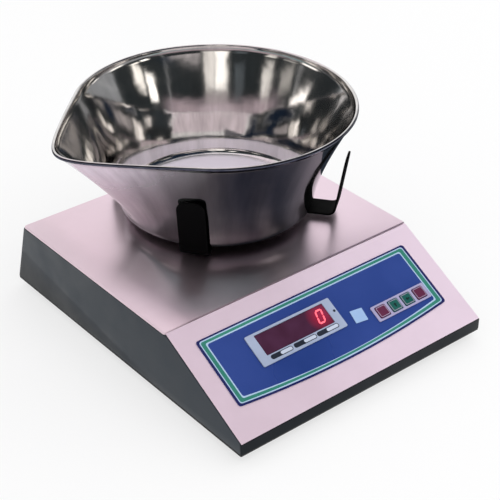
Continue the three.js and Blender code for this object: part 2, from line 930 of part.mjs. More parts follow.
function makeMainBoard() {
  const low = beamZ + mainBoardRise;
  const top = low + boardThick;
  const x = span(mainBoardCentreX, mainBoardWidth);
  const y = span(panCentreY, mainBoardLength);
  const sheet = block(x, y, [low, top]);
  const inset = postRadius + seat;
  const posts = [x[0] + inset, x[1] - inset].flatMap((a) =>
    [y[0] + inset, y[1] - inset].map((b) => rod("z", postRadius, beamZ, top + boardThick, a, b, smallSides)),
  );
  const middle = top - boardThick / 2;
  const chips = [-1, 1].map((side) => {
    const chipX = span(mainBoardCentreX + side * chipSize, chipSize);
    return block(chipX, span(panCentreY, chipSize), [middle, top + chipThick]);
  });
  const capacitors = [-1, 0, 1].map((i) =>
    rod(
      "z",
      capacitorRadius,
      middle,
      top + capacitorHeight,
      x[0] + mainBoardWidth * capacitorShare,
      panCentreY + mainBoardLength * capacitorShare + i * capacitorPitch,
      smallSides,
    ),
  );
  const relay = block(span(x[1] - relayWidth, relayWidth), span(y[0] + relayLength, relayLength), [
    middle,
    top + relayHeight,
  ]);
  return join([sheet, ...posts, ...chips, ...capacitors, relay]);
}

// Switch and inlet on the right wall
function makeSwitchBody() {
  const inner = halfWidth + switchFlange - switchDepth;
  const flange = block(
    [halfWidth + seat, halfWidth + seat + switchFlange],
    span(switchY, switchLength + 2 * switchRim),
    span(switchZ, switchTall + 2 * switchRim),
  );
  const boxX = [inner, halfWidth + seat + switchFlange / 2];
  const box = block(boxX, span(switchY, switchLength), span(switchZ, switchTall));
  const hollow = block(
    [inner + switchWall, halfWidth + switchFlange + overrun],
    span(switchY, switchLength - 2 * switchWall),
    span(switchZ, switchTall - 2 * switchWall),
  );
  const pivotX = halfWidth - rockerPivotDepth;
  const half = switchTall / 2 - switchWall / 2;
  const pin = rod("z", rockerPivotRadius, switchZ - half, switchZ + half, pivotX, switchY, smallSides);
  return cut(flange.add(box), [hollow]).add(pin);
}

function makeRocker() {
  const half = switchTall / 2 - switchWall - seat;
  const outline = new THREE.Shape();
  const low = -rockerPivotRadius - switchWall;
  outline.moveTo(low, -rockerReach / 2);
  outline.lineTo(rockerPivotDepth + switchFlange + seat, -rockerReach);
  outline.quadraticCurveTo(rockerCrown, 0, rockerPivotDepth + switchFlange + seat, rockerReach);
  outline.lineTo(low, rockerReach / 2);
  const body = prism(outline, "z", -half, half);
  const bore = rod("z", rockerPivotRadius + seat, -half - overrun, half + overrun, 0, 0, smallSides);
  return cut(body, [bore]);
}

function makeSocket() {
  const outer = halfWidth + seat + socketFlange;
  const flange = rod("x", socketFlangeRadius, halfWidth + seat, outer, socketY, switchZ);
  const inner = outer - socketDepth;
  const barrel = rod("x", socketRadius, inner, outer - socketFlange / 2, socketY, switchZ, smallSides);
  const bore = rod("x", socketBore, outer - socketBoreDepth, outer + overrun, socketY, switchZ, smallSides);
  const pin = rod(
    "x",
    socketPinRadius,
    outer - socketBoreDepth - socketFlange,
    outer - socketFlange,
    socketY,
    switchZ,
    smallSides,
  );
  return cut(flange.add(barrel), [bore]).add(pin);
}

// Levelling feet, each about its own axis
function makeFootPad() {
  const socketTop = footPivotRadius + seat;
  return lathe([
    [0, 0],
    [footPadRadius, 0],
    [footPadRadius - footPadTaper, footPadThick],
    [socketTop, footPadThick],
    [socketTop, footPadThick - footPivotHeight - seat],
    [0, footPadThick - footPivotHeight - seat],
    [0, 0],
  ]);
}

function footWheelOutline() {
  const corners = [
    [0, footWheelRadius],
    [footLandShare, footWheelRadius],
    [footNotchShare, footWheelRadius - footNotchDepth],
  ];
  const points = [];
  for (let i = 0; i < footNotchCount; i++) {
    for (const [share, radius] of corners) {
      const angle = ((i + share) * 2 * Math.PI) / footNotchCount;
      points.push([radius * Math.cos(angle), radius * Math.sin(angle)]);
    }
  }
  return outlineOf(points);
}

function makeFootScrew() {
  const low = footPadThick + seat;
  const middle = low + footWheelThick / 2;
  const wheel = prism(footWheelOutline(), "z", low, low + footWheelThick);
  const stud = rod("z", footStudRadius, middle, plateTopZ + footNutHeight + footStudTop);
  const pivot = rod("z", footPivotRadius, footPadThick - footPivotHeight, middle, 0, 0, smallSides);
  return join([wheel, stud, pivot]);
}

// Cradle strips, each along its own X about the crossing
// The middle line of one half, from the crossing out to the arm's tip
function stripLine(drop) {
  const half = stripThick / 2;
  const line = [[0, half - drop]];
  if (drop > 0) line.push([joggleLength / 2, half - drop], [joggleLength / 2 + joggleRamp, half]);
  const radius = armBend - half;
  const rise = (half + radius) * Math.tan(armLean);
  const bendX = cradleReach + rise - (half + radius) / Math.cos(armLean);
  for (let i = 0; i <= bendSteps; i++) {
    const angle = ((Math.PI / 2 - armLean) * i) / bendSteps;
    line.push([bendX + radius * Math.sin(angle), half + radius * (1 - Math.cos(angle))]);
  }
  const [x, z] = line[line.length - 1];
  line.push([x + (armHeight - z) * Math.tan(armLean), armHeight]);
  return line;
}

// The outline of a bent sheet of the given thickness about its middle line
function thicken(line, thickness) {
  const left = [];
  const right = [];
  line.forEach(([x, z], i) => {
    const [x0, z0] = line[Math.max(i - 1, 0)];
    const [x1, z1] = line[Math.min(i + 1, line.length - 1)];
    const before = new THREE.Vector2(x - x0, z - z0).normalize();
    const after = new THREE.Vector2(x1 - x, z1 - z).normalize();
    const along = before.clone().add(after).normalize();
    const stretch = thickness / 2 / Math.max(along.dot(before), along.dot(after));
    left.push([x - along.y * stretch, z + along.x * stretch]);
    right.push([x + along.y * stretch, z - along.x * stretch]);
  });
  return [...left, ...right.reverse()];
}

function makeStrip(drop) {
  const right = stripLine(drop);
  const left = right.slice(1).map(([x, z]) => [-x, z]).reverse();
  const section = outlineOf(thicken([...left, ...right], stripThick));
  const strip = prism(section, "y", -stripWidth / 2, stripWidth / 2);
  const reach = cradleReach + armHeight;
  const front = roundedRectangle(
    [-stripWidth / 2, stripWidth / 2],
    [-armTipCorner - joggleDrop - stripThick, armHeight],
    armTipCorner,
  );
  const envelope = prism(front, "x", -reach, reach);
  return strip.intersect(envelope);
}

function stripPads(turn) {
  return [-1, 1].map((side) => {
    const angle = cradleTurn + turn;
    return [cradleX + side * padPlace * Math.cos(angle), cradleY + side * padPlace * Math.sin(angle)];
  });
}

function makeRivet() {
  const low = -joggleDrop;
  const high = stripThick;
  return lathe([
    [0, low],
    [rivetHeadRadius, low],
    [rivetRadius, low + stripThick / 2],
    [rivetRadius, high - stripThick / 2],
    [rivetHeadRadius, high],
    [0, high],
  ]);
}

function rivetHole() {
  const low = -joggleDrop;
  const high = stripThick;
  return lathe([
    [0, low - overrun],
    [rivetHeadRadius + seat, low - overrun],
    [rivetHeadRadius + seat, low],
    [rivetRadius + seat, low + stripThick / 2],
    [rivetRadius + seat, high - stripThick / 2],
    [rivetHeadRadius + seat, high],
    [rivetHeadRadius + seat, high + overrun],
    [0, high + overrun],
  ]);
}

// Bowl: rings from the bottom's centre up the outside, over the bead and down the inside
function spoutRadius(angle, radius, reach) {
  const off = Math.sqrt(angle * angle + spoutRounding * spoutRounding) - spoutRounding;
  if (reach <= radius) return radius;
  const half = Math.acos(radius / reach);
  return off < half ? radius / Math.cos(off - half) : radius;
}

function bowlRing(radius, z, share, inset = 0) {
  const ring = [];
  const reach = radius + (spoutReach - bowlRimRadius) * share;
  const lift = spoutLift * share;
  for (let i = 0; i < bowlSides; i++) {
    const even = -Math.PI + (2 * Math.PI * i) / bowlSides;
    const angle = even - bowlCrowdShare * Math.sin(even);
    const distance = spoutRadius(angle, radius, reach) - inset;
    const fade = Math.max(0, 1 - Math.abs(angle) / spoutSpread);
    const turn = angle + spoutTurn;
    ring.push(new THREE.Vector3(distance * Math.cos(turn), distance * Math.sin(turn), z + lift * fade));
  }
  return ring;
}

function wallShare(z) {
  return Math.min(1, Math.max(0, (z - bowlFootHeight) / (bowlDepth - bowlFootHeight)));
}

function wallRadius(z) {
  const topRadius = bowlRimRadius - 2 * beadRadius + bowlWall;
  return bowlFootRadius + (topRadius - bowlFootRadius) * wallShare(z) ** bowlFlare;
}

function bowlCorner(inset) {
  const points = [];
  for (let i = 1; i <= curveSteps; i++) {
    const angle = (i * Math.PI) / 2 / curveSteps;
    const radius = bowlBaseRadius + (bowlFootRadius - bowlBaseRadius - inset) * Math.sin(angle);
    const height = bowlFootHeight - (bowlFootHeight - inset) * Math.cos(angle);
    points.push([radius, height]);
  }
  return points;
}

function makeBowl() {
  const outside = [bowlRing(bowlBaseRadius, 0, 0)];
  const inside = [bowlRing(bowlBaseRadius, bowlWall, 0)];
  for (const [radius, z] of bowlCorner(0)) outside.push(bowlRing(radius, z, 0));
  for (const [radius, z] of bowlCorner(bowlWall)) inside.push(bowlRing(radius, z, 0));
  for (let i = 1; i <= wallSteps; i++) {
    const share = i / wallSteps;
    const z = bowlFootHeight + (bowlDepth - bowlFootHeight) * share;
    outside.push(bowlRing(wallRadius(z), z, share));
    inside.push(bowlRing(wallRadius(z), z, share, bowlWall));
  }
  const bead = [];
  const centre = wallRadius(bowlDepth) - bowlWall + beadRadius;
  for (let i = 0; i <= beadSteps; i++) {
    const angle = beadStart + (i * beadSweep) / beadSteps;
    const radius = centre + beadRadius * Math.cos(angle);
    bead.push(bowlRing(radius, bowlDepth + beadRadius + beadRadius * Math.sin(angle), 1));
  }
  const centreLow = new THREE.Vector3(0, 0, 0);
  const centreHigh = new THREE.Vector3(0, 0, bowlWall);
  return skin(centreLow, [...outside, ...bead, ...inside.reverse()], centreHigh);
}

// Assembly
add(scale, "base_plate", makeBasePlate(), finishes.blackPaint);
add(scale, "housing", makeHousing(), finishes.slatePaint);
add(consoleFace, "front_panel", makeFrontPanel(), finishes.paleSteel);
add(consoleFace, "overlay_label", makeLabel(), finishes.blueFilm);
add(consoleFace, "display_bezel", makeBezel(), finishes.paleFilm);
add(consoleFace, "display_window", makeWindow(), finishes.redFilter);
add(consoleFace, "display_module", makeDisplayModule(), finishes.ledBody);
add(consoleFace, "display_board", makeDisplayBoard(), finishes.boardGreen);
add(consoleFace, "key_frame", makeKeyFrame(), finishes.lavenderFilm);
add(consoleFace, "key_board", makeKeyBoard(), finishes.boardGreen);

const sticker = add(consoleFace, "corner_sticker", makeSticker(), finishes.skyFilm);
sticker.position.set(stickerCentreX, stickerCentreT, 0);
sticker.rotation.z = stickerTurn;

const keys = [
  ["key_left_maroon", finishes.maroonKey],
  ["key_left_green", finishes.greenKey],
  ["key_right_green", finishes.greenKey],
  ["key_right_maroon", finishes.maroonKey],
];
keys.forEach(([name, material], i) => {
  add(consoleFace, name, makeKey(), material).position.set(keyPlaces[i], keyFrameCentreT, 0);
});

tabPlaces.forEach(([sx, y], i) => {
  const headBottom = footHeight - seat - tabHeadHeight;
  const tip = plateTopZ + seat + tabThick;
  const x = sx * tabScrewX;
  const screw = makeScrew(tabHeadRadius, tabHeadHeight, tabScrewRadius, headBottom, tip, x, y, true);
  add(scale, `housing_screw_${i + 1}`, screw, finishes.zincSteel);
});

add(scale, "power_switch", makeSwitchBody(), finishes.blackPlastic);
const rocker = add(scale, "power_rocker", makeRocker(), finishes.redPlastic);
rocker.position.set(halfWidth - rockerPivotDepth, switchY, switchZ);
rocker.rotation.z = rockerTilt;
add(scale, "charger_socket", makeSocket(), finishes.blackPlastic);

add(scale, "load_beam", makeLoadBeam(), finishes.zincSteel);
const lowerSpacer = makeSpacer(lowerSpacerZ, cellFrontY() + spacerLength / 2, lowerBoltPlaces);
add(scale, "lower_spacer", lowerSpacer, finishes.aluminium);
add(scale, "load_cell", makeLoadCell(), finishes.aluminium);
lowerBoltPlaces.forEach((y, i) => {
  const headBottom = footHeight - seat - boltHeadHeight;
  const tip = cellZ + boltReach;
  const bolt = makeScrew(boltHeadRadius, boltHeadHeight, boltRadius, headBottom, tip, 0, y, true);
  add(scale, `lower_bolt_${i + 1}`, bolt, finishes.zincSteel);
});
const stop = add(scale, "overload_stop", makeStop(), finishes.zincSteel);
stop.position.set(spiderReachX, panCentreY - spiderReachY, 0);

const upperSpacer = makeSpacer(upperSpacerZ, cellBackY() - spacerLength / 2, upperBoltPlaces);
add(scale, "upper_spacer", upperSpacer, finishes.aluminium);
add(scale, "spider", makeSpider(), finishes.zincSteel);
upperBoltPlaces.forEach((y, i) => {
  const tip = cellZ + cellHeight - boltReach;
  const bolt = makeScrew(boltHeadRadius, boltHeadHeight, boltRadius, spiderTopZ + seat, tip, 0, y, false);
  add(scale, `upper_bolt_${i + 1}`, bolt, finishes.zincSteel);
});
pillarPlaces.forEach(([x, y], i) => {
  add(scale, `pillar_${i + 1}`, makePillar(), finishes.zincSteel).position.set(x, y, 0);
  add(scale, `pan_bush_${i + 1}`, makeBush(), finishes.blackRubber).position.set(x, y, 0);
});

add(scale, "battery", makeBattery(), finishes.batteryCase);
add(scale, "battery_strap", makeStrap(), finishes.zincSteel);
add(scale, "main_board", makeMainBoard(), finishes.boardGreen);

footPlaces.forEach(([x, y], i) => {
  add(scale, `foot_pad_${i + 1}`, makeFootPad(), finishes.blackRubber).position.set(x, y, 0);
  add(scale, `foot_screw_${i + 1}`, makeFootScrew(), finishes.zincSteel).position.set(x, y, 0);
});

add(scale, "pan", makePan(), finishes.paleSteel);

const cradle = new THREE.Group();
cradle.position.set(cradleX, cradleY, cradleZ);
cradle.rotation.z = cradleTurn;
scale.add(cradle);
const flatStrip = cut(makeStrip(0), [rivetHole()]);
const joggledStrip = cut(makeStrip(joggleDrop), [rivetHole()]);
add(cradle, "cradle_strip_side", flatStrip, finishes.blackCoat);
const frontStrip = add(cradle, "cradle_strip_front", joggledStrip, finishes.blackCoat);
frontStrip.rotation.z = Math.PI / 2;
add(cradle, "cradle_rivet", makeRivet(), finishes.zincSteel);
[...stripPads(0), ...stripPads(Math.PI / 2)].forEach(([x, y], i) => {
  const pad = rod("z", padRadius, panTopZ + seat, cradleZ - seat, x, y);
  add(scale, `cradle_pad_${i + 1}`, pad, finishes.blackRubber);
});

const bowl = add(scale, "bowl", makeBowl(), finishes.polishedSteel);
bowl.position.set(bowlX, bowlY, bowlZ);

// The part stands on the table with its origin below the middle of its outer box.
const outerBox = new THREE.Box3().setFromObject(scale);
const middle = outerBox.getCenter(new THREE.Vector3());
scale.position.set(-middle.x, -middle.y, 0);

const counterScale = new THREE.Group();
counterScale.add(scale);

export default counterScale;
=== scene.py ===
import json
import math

import bmesh
import bpy
from mathutils import Matrix, Vector


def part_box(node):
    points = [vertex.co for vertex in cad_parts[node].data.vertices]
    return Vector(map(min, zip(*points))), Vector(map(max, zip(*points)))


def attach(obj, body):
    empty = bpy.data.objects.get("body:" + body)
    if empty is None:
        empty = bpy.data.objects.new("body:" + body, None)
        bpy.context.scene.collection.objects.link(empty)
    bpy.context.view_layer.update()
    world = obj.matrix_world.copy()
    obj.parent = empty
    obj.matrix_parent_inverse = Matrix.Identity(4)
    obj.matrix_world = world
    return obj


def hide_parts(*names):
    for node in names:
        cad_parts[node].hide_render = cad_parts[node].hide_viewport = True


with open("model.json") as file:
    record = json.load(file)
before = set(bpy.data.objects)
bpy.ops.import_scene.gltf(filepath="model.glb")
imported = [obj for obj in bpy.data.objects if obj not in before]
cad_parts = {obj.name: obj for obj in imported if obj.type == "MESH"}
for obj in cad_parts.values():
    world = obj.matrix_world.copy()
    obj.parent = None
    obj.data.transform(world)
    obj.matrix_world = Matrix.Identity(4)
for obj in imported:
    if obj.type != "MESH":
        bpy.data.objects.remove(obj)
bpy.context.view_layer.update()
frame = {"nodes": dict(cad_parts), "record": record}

MM = 0.001
BODY_OF = {n: b for b, names in frame["record"]["behaviour"]["bodies"].items() for n in names}

# Places taken from the part's own named sizes, in millimetres
LIP_Z = 23.1
CONSOLE_DEPTH = 108.0
CONSOLE_RISE = 58.5
SLOPE = math.atan2(CONSOLE_RISE, CONSOLE_DEPTH)
PAN_LOW, PAN_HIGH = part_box("pan")
SHIFT_X = (PAN_LOW[0] + PAN_HIGH[0]) / 2
SHIFT_Y = PAN_LOW[1] - CONSOLE_DEPTH * MM
BOWL_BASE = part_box("bowl")[0][2] / MM

# Tops of the pieces on the console, and how far a print stands over its ground
LABEL_TOP = 0.7
WINDOW_TOP = 1.8
BEZEL_TOP = 2.2
KEY_TRAVEL = 0.4
KEY_SEAT = 0.3
KEY_THICK = 1.1
KEY_TOP = LABEL_TOP + KEY_TRAVEL + KEY_SEAT + KEY_THICK
PRINT_LIFT = 0.03


def at(x, y, z):
    """A point of the housing's own millimetre frame, in the row frame."""
    return Vector((x * MM + SHIFT_X, y * MM + SHIFT_Y, z * MM))


def on_slope(x, t, n):
    """A point on the sloped console: across, up the slope, and out of it, in millimetres."""
    y = t * math.cos(SLOPE) - n * math.sin(SLOPE)
    z = LIP_Z + t * math.sin(SLOPE) + n * math.cos(SLOPE)
    return at(x, y, z)


# Colours and material nodes


def srgb(r, g, b):
    """A colour as a picture shows it, 0 to 255, in the linear values that shaders take."""
    out = []
    for value in (r, g, b):
        c = value / 255
        out.append(c / 12.92 if c <= 0.04045 else ((c + 0.055) / 1.055) ** 2.4)
    return tuple(out)


def toned(colour, share):
    return tuple(min(1.0, c * share) for c in colour)


class Nodes:
    """A small helper that builds one procedural material."""

    # The band of a noise's values that is stretched over a whole change
    NOISE_BAND = (0.3, 0.7)

    def __init__(self, name):
        self.material = bpy.data.materials.new(name)
        self.material.use_nodes = True
        self.tree = self.material.node_tree
        self.shader = self.tree.nodes["Principled BSDF"]

    def set(self, **values):
        for key, value in values.items():
            self.shader.inputs[key.replace("_", " ")].default_value = value

    def node(self, kind, **values):
        node = self.tree.nodes.new(kind)
        for key, value in values.items():
            setattr(node, key, value)
        return node

    def link(self, a, b):
        self.tree.links.new(a, b)

    def here(self):
        """The shaded point's own place, in metres."""
        return self.node("ShaderNodeTexCoord").outputs["Object"]

    def place(self, scale=(1, 1, 1), turn=(0, 0, 0), shift=(0, 0, 0)):
        """The shaded point's place after a scaling, a turn and a shift."""
        mapping = self.node("ShaderNodeMapping")
        mapping.inputs["Scale"].default_value = scale
        mapping.inputs["Rotation"].default_value = turn
        mapping.inputs["Location"].default_value = shift
        self.link(self.here(), mapping.inputs["Vector"])
        return mapping.outputs["Vector"]

    def split(self, vector):
        parts = self.node("ShaderNodeSeparateXYZ")
        self.link(vector, parts.inputs["Vector"])
        return parts.outputs["X"], parts.outputs["Y"], parts.outputs["Z"]

    def pair(self, x, y):
        """A vector of two values."""
        both = self.node("ShaderNodeCombineXYZ")
        self.link(x, both.inputs["X"])
        self.link(y, both.inputs["Y"])
        return both.outputs["Vector"]

    def vector(self, operation, a, b=None):
        node = self.node("ShaderNodeVectorMath", operation=operation)
        self.link(a, node.inputs[0])
        if b is not None:
            node.inputs[1].default_value = b
        return node

    def noise(self, vector, scale, detail, rough=0.55):
        noise = self.node("ShaderNodeTexNoise")
        noise.inputs["Scale"].default_value = scale
        noise.inputs["Detail"].default_value = detail
        noise.inputs["Roughness"].default_value = rough
        self.link(vector, noise.inputs["Vector"])
        return noise.outputs["Fac"]

    def ramp(self, fac, places, colours):
        ramp = self.node("ShaderNodeValToRGB")
        elements = ramp.color_ramp.elements
        while len(elements) < len(places):
            elements.new(0.5)
        for element, place, colour in zip(elements, places, colours):
            element.position = place
            element.color = (*colour, 1)
        self.link(fac, ramp.inputs["Fac"])
        return ramp.outputs["Color"]

    def range(self, fac, low, high, start=0.0, end=1.0):
        """From low to high while fac goes from start to end, and level beyond."""
        scaled = self.node("ShaderNodeMapRange")
        scaled.inputs["From Min"].default_value = start
        scaled.inputs["From Max"].default_value = end
        scaled.inputs["To Min"].default_value = low
        scaled.inputs["To Max"].default_value = high
        self.link(fac, scaled.inputs["Value"])
        return scaled.outputs["Result"]

    def spread(self, noise, low, high):
        """From low to high over the noise's band."""
        return self.range(noise, low, high, *self.NOISE_BAND)

    def math(self, operation, a, b):
        node = self.node("ShaderNodeMath", operation=operation)
        for socket, value in zip(node.inputs, (a, b)):
            if isinstance(value, (int, float)):
                socket.default_value = value
            else:
                self.link(value, socket)
        return node.outputs["Value"]

    def times(self, a, b):
        return self.math("MULTIPLY", a, b)

    def mix(self, fac, a, b):
        """A mix of two colours, each of them fixed or linked."""
        # The node's own colour sockets are its inputs 6 and 7 and its output 2
        node = self.node("ShaderNodeMix", data_type="RGBA")
        self.link(fac, node.inputs["Factor"])
        for socket, value in zip((node.inputs[6], node.inputs[7]), (a, b)):
            if isinstance(value, tuple):
                socket.default_value = (*value, 1)
            else:
                self.link(value, socket)
        return node.outputs[2]

    def feed(self, socket, source):
        """Links a value to one of the shader's own sockets."""
        self.link(source, self.shader.inputs[socket])

    def bump(self, height, strength, distance):
        bump = self.node("ShaderNodeBump")
        bump.inputs["Strength"].default_value = strength
        bump.inputs["Distance"].default_value = distance
        self.link(height, bump.inputs["Height"])
        self.feed("Normal", bump.outputs["Normal"])

    def blend(self, fac, closure):
        """Shows a second closure by fac in place of the first one."""
        mixed = self.node("ShaderNodeMixShader")
        self.link(fac, mixed.inputs["Fac"])
        self.link(closure.outputs["BSDF"], mixed.inputs[1])
        glow = self.node("ShaderNodeEmission")
        self.link(glow.outputs["Emission"], mixed.inputs[2])
        self.link(mixed.outputs["Shader"], self.tree.nodes["Material Output"].inputs["Surface"])
        return glow


# Materials

# A plain finish: scales of its tones and grain against the given scale, and depth in metres
TONE_SCALE = 0.12
GRAIN_SCALE = 6
GRAIN_DEPTH = 0.00015
PLAIN_ROUGH_SWING = 0.08
LEAST_ROUGH = 0.03


def plain(name, colour, rough, scale, vary, bump, metal=0.0, gleam=0.5):
    """Paint, plastic, rubber or plated metal with a fine grain and slight changes of tone."""
    m = Nodes(name)
    m.set(Metallic=metal, Specular_IOR_Level=gleam)
    place = m.place()
    tone = m.noise(place, scale * TONE_SCALE, 3)
    grain = m.noise(place, scale * GRAIN_SCALE, 2)
    tones = (toned(colour, 1 - vary), toned(colour, 1 + vary))
    m.feed("Base Color", m.ramp(tone, m.NOISE_BAND, tones))
    smooth = max(LEAST_ROUGH, rough - PLAIN_ROUGH_SWING)
    m.feed("Roughness", m.spread(tone, smooth, min(1.0, rough + PLAIN_ROUGH_SWING)))
    m.bump(grain, bump, GRAIN_DEPTH)
    return m.material


# Pale sheet: where its changes start and end from left to right, in metres
SHEET_SHADE_SPAN = (-0.14, 0.12)
SHEET_EDGE_SPAN = (-0.148, -0.124)
SHEET_BRIGHT_SPAN = (-0.09, -0.04)
SHEET_CLOUDS = 0.22
SHEET_ROUGH_SWING = 0.03
HAIR_SCALE = (900, 26, 60)
HAIR_TURN = (0, 0, 0.5)


def pale_sheet(name, left, right, rough, metal):
    """Pale stainless sheet with wiping marks and hair scratches, duller towards its left edge, and
    painted shade: darker towards its left, lighter towards its right.

    metal is how much it mirrors at that edge, beside it, and from the middle on.
    """
    m = Nodes(name)
    here = m.here()
    x, _, _ = m.split(here)
    cloud = m.noise(here, 11, 4, 0.6)
    hair = m.noise(m.place(scale=HAIR_SCALE, turn=HAIR_TURN), 1.0, 3, 0.7)
    # Painted shade: the colour goes from the darker left tone to the lighter right one
    across = m.range(x, 0.0, 1.0, *SHEET_SHADE_SPAN)
    shade = m.math("ADD", across, m.spread(cloud, -SHEET_CLOUDS, SHEET_CLOUDS))
    m.feed("Base Color", m.ramp(shade, (0.0, 1.0), (left, right)))
    at_edge, beside, middle = metal
    edge = m.range(x, at_edge, beside, *SHEET_EDGE_SPAN)
    bright = m.range(x, 0.0, middle - beside, *SHEET_BRIGHT_SPAN)
    m.feed("Metallic", m.math("ADD", edge, bright))
    m.feed("Roughness", m.spread(cloud, rough - SHEET_ROUGH_SWING, rough + SHEET_ROUGH_SWING))
    m.bump(hair, 0.03, 0.0001)
    return m.material


# Bowl's polish marks, painted light and painted shade: spans from the axis and to the side in
# metres, spans over its base in millimetres
RINGS_PER_RADIAN, RINGS_PER_METRE = 0.35, 900.0
SMEARS_PER_RADIAN, SMEARS_PER_METRE = 7.0, 9.0
# Painted light: the bowl's inner floor is painted pale and matt
PAINTED_LIGHT_REACH_SPAN = (0.088, 0.096)
PAINTED_LIGHT_TOP_SPAN = (3, 7)
PAINTED_LIGHT_FLOOR_SPAN = (0.3, 0.9)
PAINTED_LIGHT_TONE = srgb(250, 240, 253)
PAINTED_LIGHT_MATT = 0.3
PAINTED_LIGHT_METAL = 0.1
# Painted reflection: the outer wall is painted pale on its left side towards the rim
PAINTED_REFLECTION_SIDE_SPAN = (-0.14, -0.085)
PAINTED_REFLECTION_HIGH_SPAN = (0.125, 0.19)
PAINTED_REFLECTION_MOST = 0.75
PAINTED_REFLECTION_MATT = 0.11
# Painted shade: the outer wall is painted darker towards its foot
FOOT_SHADE_SPAN = (6, 40)
FOOT_SHADE = srgb(98, 101, 103)
FOOT_SHADE_MOST = 0.85
BOWL_SMOOTH, BOWL_ROUGH = 0.05, 0.14
RING_DEPTH = 0.02
DENT_SHIFT = (3, 1, 2)


def over_base(low, high):
    return (BOWL_BASE + low) * MM, (BOWL_BASE + high) * MM


def polished_bowl(name, tones, painted_light_and_shade):
    """Spun and polished steel: fine rings round the axis, vertical smears and small dents.

    Its floor is painted light: pale and matt. The outer wall's steel also has a painted
    reflection, pale on its left side towards the rim, and painted shade, dark at its foot.
    """
    m = Nodes(name)
    here = m.here()
    x, y, z = m.split(m.vector("SUBTRACT", here, BOWL_AXIS).outputs["Vector"])
    angle = m.math("ARCTAN2", y, x)
    ring = m.pair(m.times(angle, RINGS_PER_RADIAN), m.times(z, RINGS_PER_METRE))
    rings = m.noise(ring, 1.0, 3, 0.6)
    smear = m.pair(m.times(angle, SMEARS_PER_RADIAN), m.times(z, SMEARS_PER_METRE))
    smears = m.noise(smear, 1.0, 4, 0.6)
    cloud = m.noise(here, 22, 4, 0.6)
    dents = m.noise(m.place(shift=DENT_SHIFT), 34, 2, 0.4)
    tone = m.ramp(smears, (0.25, 0.5, 0.75), tones)
    reach = m.vector("LENGTH", m.pair(x, y)).outputs["Value"]
    # Painted light: the inner floor is painted pale and matt
    near = m.range(reach, 1.0, 0.0, *PAINTED_LIGHT_REACH_SPAN)
    low = m.range(z, 1.0, 0.0, *over_base(*PAINTED_LIGHT_TOP_SPAN))
    inside = m.range(z, 0.0, 1.0, *over_base(*PAINTED_LIGHT_FLOOR_SPAN))
    painted_light = m.times(m.times(near, low), inside)
    matt = m.times(painted_light, PAINTED_LIGHT_MATT)
    if painted_light_and_shade:
        # Painted reflection: pale on the left side towards the rim
        side = m.range(x, 1.0, 0.0, *PAINTED_REFLECTION_SIDE_SPAN)
        high = m.range(z, 0.0, PAINTED_REFLECTION_MOST, *PAINTED_REFLECTION_HIGH_SPAN)
        painted_reflection = m.times(m.times(side, high), m.spread(smears, 0.7, 1.1))
        painted_light = m.math("MAXIMUM", painted_light, painted_reflection)
        matt = m.math("MAXIMUM", matt, m.times(painted_reflection, PAINTED_REFLECTION_MATT))
        # Painted shade: darker towards the foot
        foot = m.range(z, FOOT_SHADE_MOST, 0.0, *over_base(*FOOT_SHADE_SPAN))
        tone = m.mix(foot, tone, FOOT_SHADE)
    m.feed("Base Color", m.mix(painted_light, tone, PAINTED_LIGHT_TONE))
    m.feed("Metallic", m.range(painted_light, 1.0, PAINTED_LIGHT_METAL))
    m.feed("Roughness", m.math("ADD", m.spread(cloud, BOWL_SMOOTH, BOWL_ROUGH), matt))
    m.bump(m.math("ADD", m.times(rings, RING_DEPTH), dents), 0.3, 0.0012)
    return m.material


# Housing: where the painted shade on its lip ends, from front to back, and how shiny the paint is
# with and without it
LIP_SHADE_SPAN = (SHIFT_Y + 0.5 * MM, SHIFT_Y + 2 * MM)
HOUSING_GLEAM, LIP_SHADE_GLEAM = 0.5, 0.15
HOUSING_VARY = 0.1
HOUSING_SMOOTH, HOUSING_ROUGH = 0.37, 0.53


def housing_paint(name, colour, lip_shade_colour):
    """Slate paint, with painted shade on the low front lip: darker and less shiny there."""
    m = Nodes(name)
    place = m.place()
    _, y, _ = m.split(place)
    # Painted shade on the low front lip
    lip = m.range(y, 1.0, 0.0, *LIP_SHADE_SPAN)
    tone = m.noise(place, 31, 3)
    grain = m.noise(place, 1560, 2)
    tones = (toned(colour, 1 - HOUSING_VARY), toned(colour, 1 + HOUSING_VARY))
    m.feed("Base Color", m.mix(lip, m.ramp(tone, m.NOISE_BAND, tones), lip_shade_colour))
    m.feed("Specular IOR Level", m.range(lip, HOUSING_GLEAM, LIP_SHADE_GLEAM))
    m.feed("Roughness", m.spread(tone, HOUSING_SMOOTH, HOUSING_ROUGH))
    m.bump(grain, 0.3, GRAIN_DEPTH)
    return m.material


def lit_stroke(name, colour):
    """A glowing stroke of the display."""
    m = Nodes(name)
    lit = (*colour, 1)
    m.set(Base_Color=lit, Emission_Color=lit, Emission_Strength=1.0, Roughness=0.4)
    return m.material


# How far from the digit's middle its glow goes, in metres
GLOW_SPAN = (0.003, 0.016)


def filter_glass():
    """Dark red display filter: smooth, with the lit digit's glow behind it."""
    m = Nodes("red_filter")
    m.set(Roughness=0.06, Emission_Strength=0.55)
    tone = m.noise(m.place(), 18, 3)
    m.feed("Base Color", m.ramp(tone, m.NOISE_BAND, (srgb(56, 24, 40), srgb(84, 50, 76))))
    digit = on_slope(DIGIT_X, DIGIT_T, WINDOW_TOP)
    away = m.vector("DISTANCE", m.here(), digit).outputs["Value"]
    glow = m.range(away, 1.0, 0.0, *GLOW_SPAN)
    m.feed("Emission Color", m.mix(glow, (0, 0, 0), srgb(190, 20, 50)))
    return m.material


# Mesh tools

BEVEL_STEPS = 2
EDGE_ANGLE = math.radians(32)
FLAT_ANGLE = math.radians(0.5)
WELD_REACH = 1e-6


def add_object(name, data):
    obj = bpy.data.objects.new(name, data)
    bpy.context.scene.collection.objects.link(obj)
    return obj


def new_object(name, mesh, body, *materials):
    obj = add_object(name, mesh)
    for material in materials:
        mesh.materials.append(material)
    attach(obj, body)
    return obj


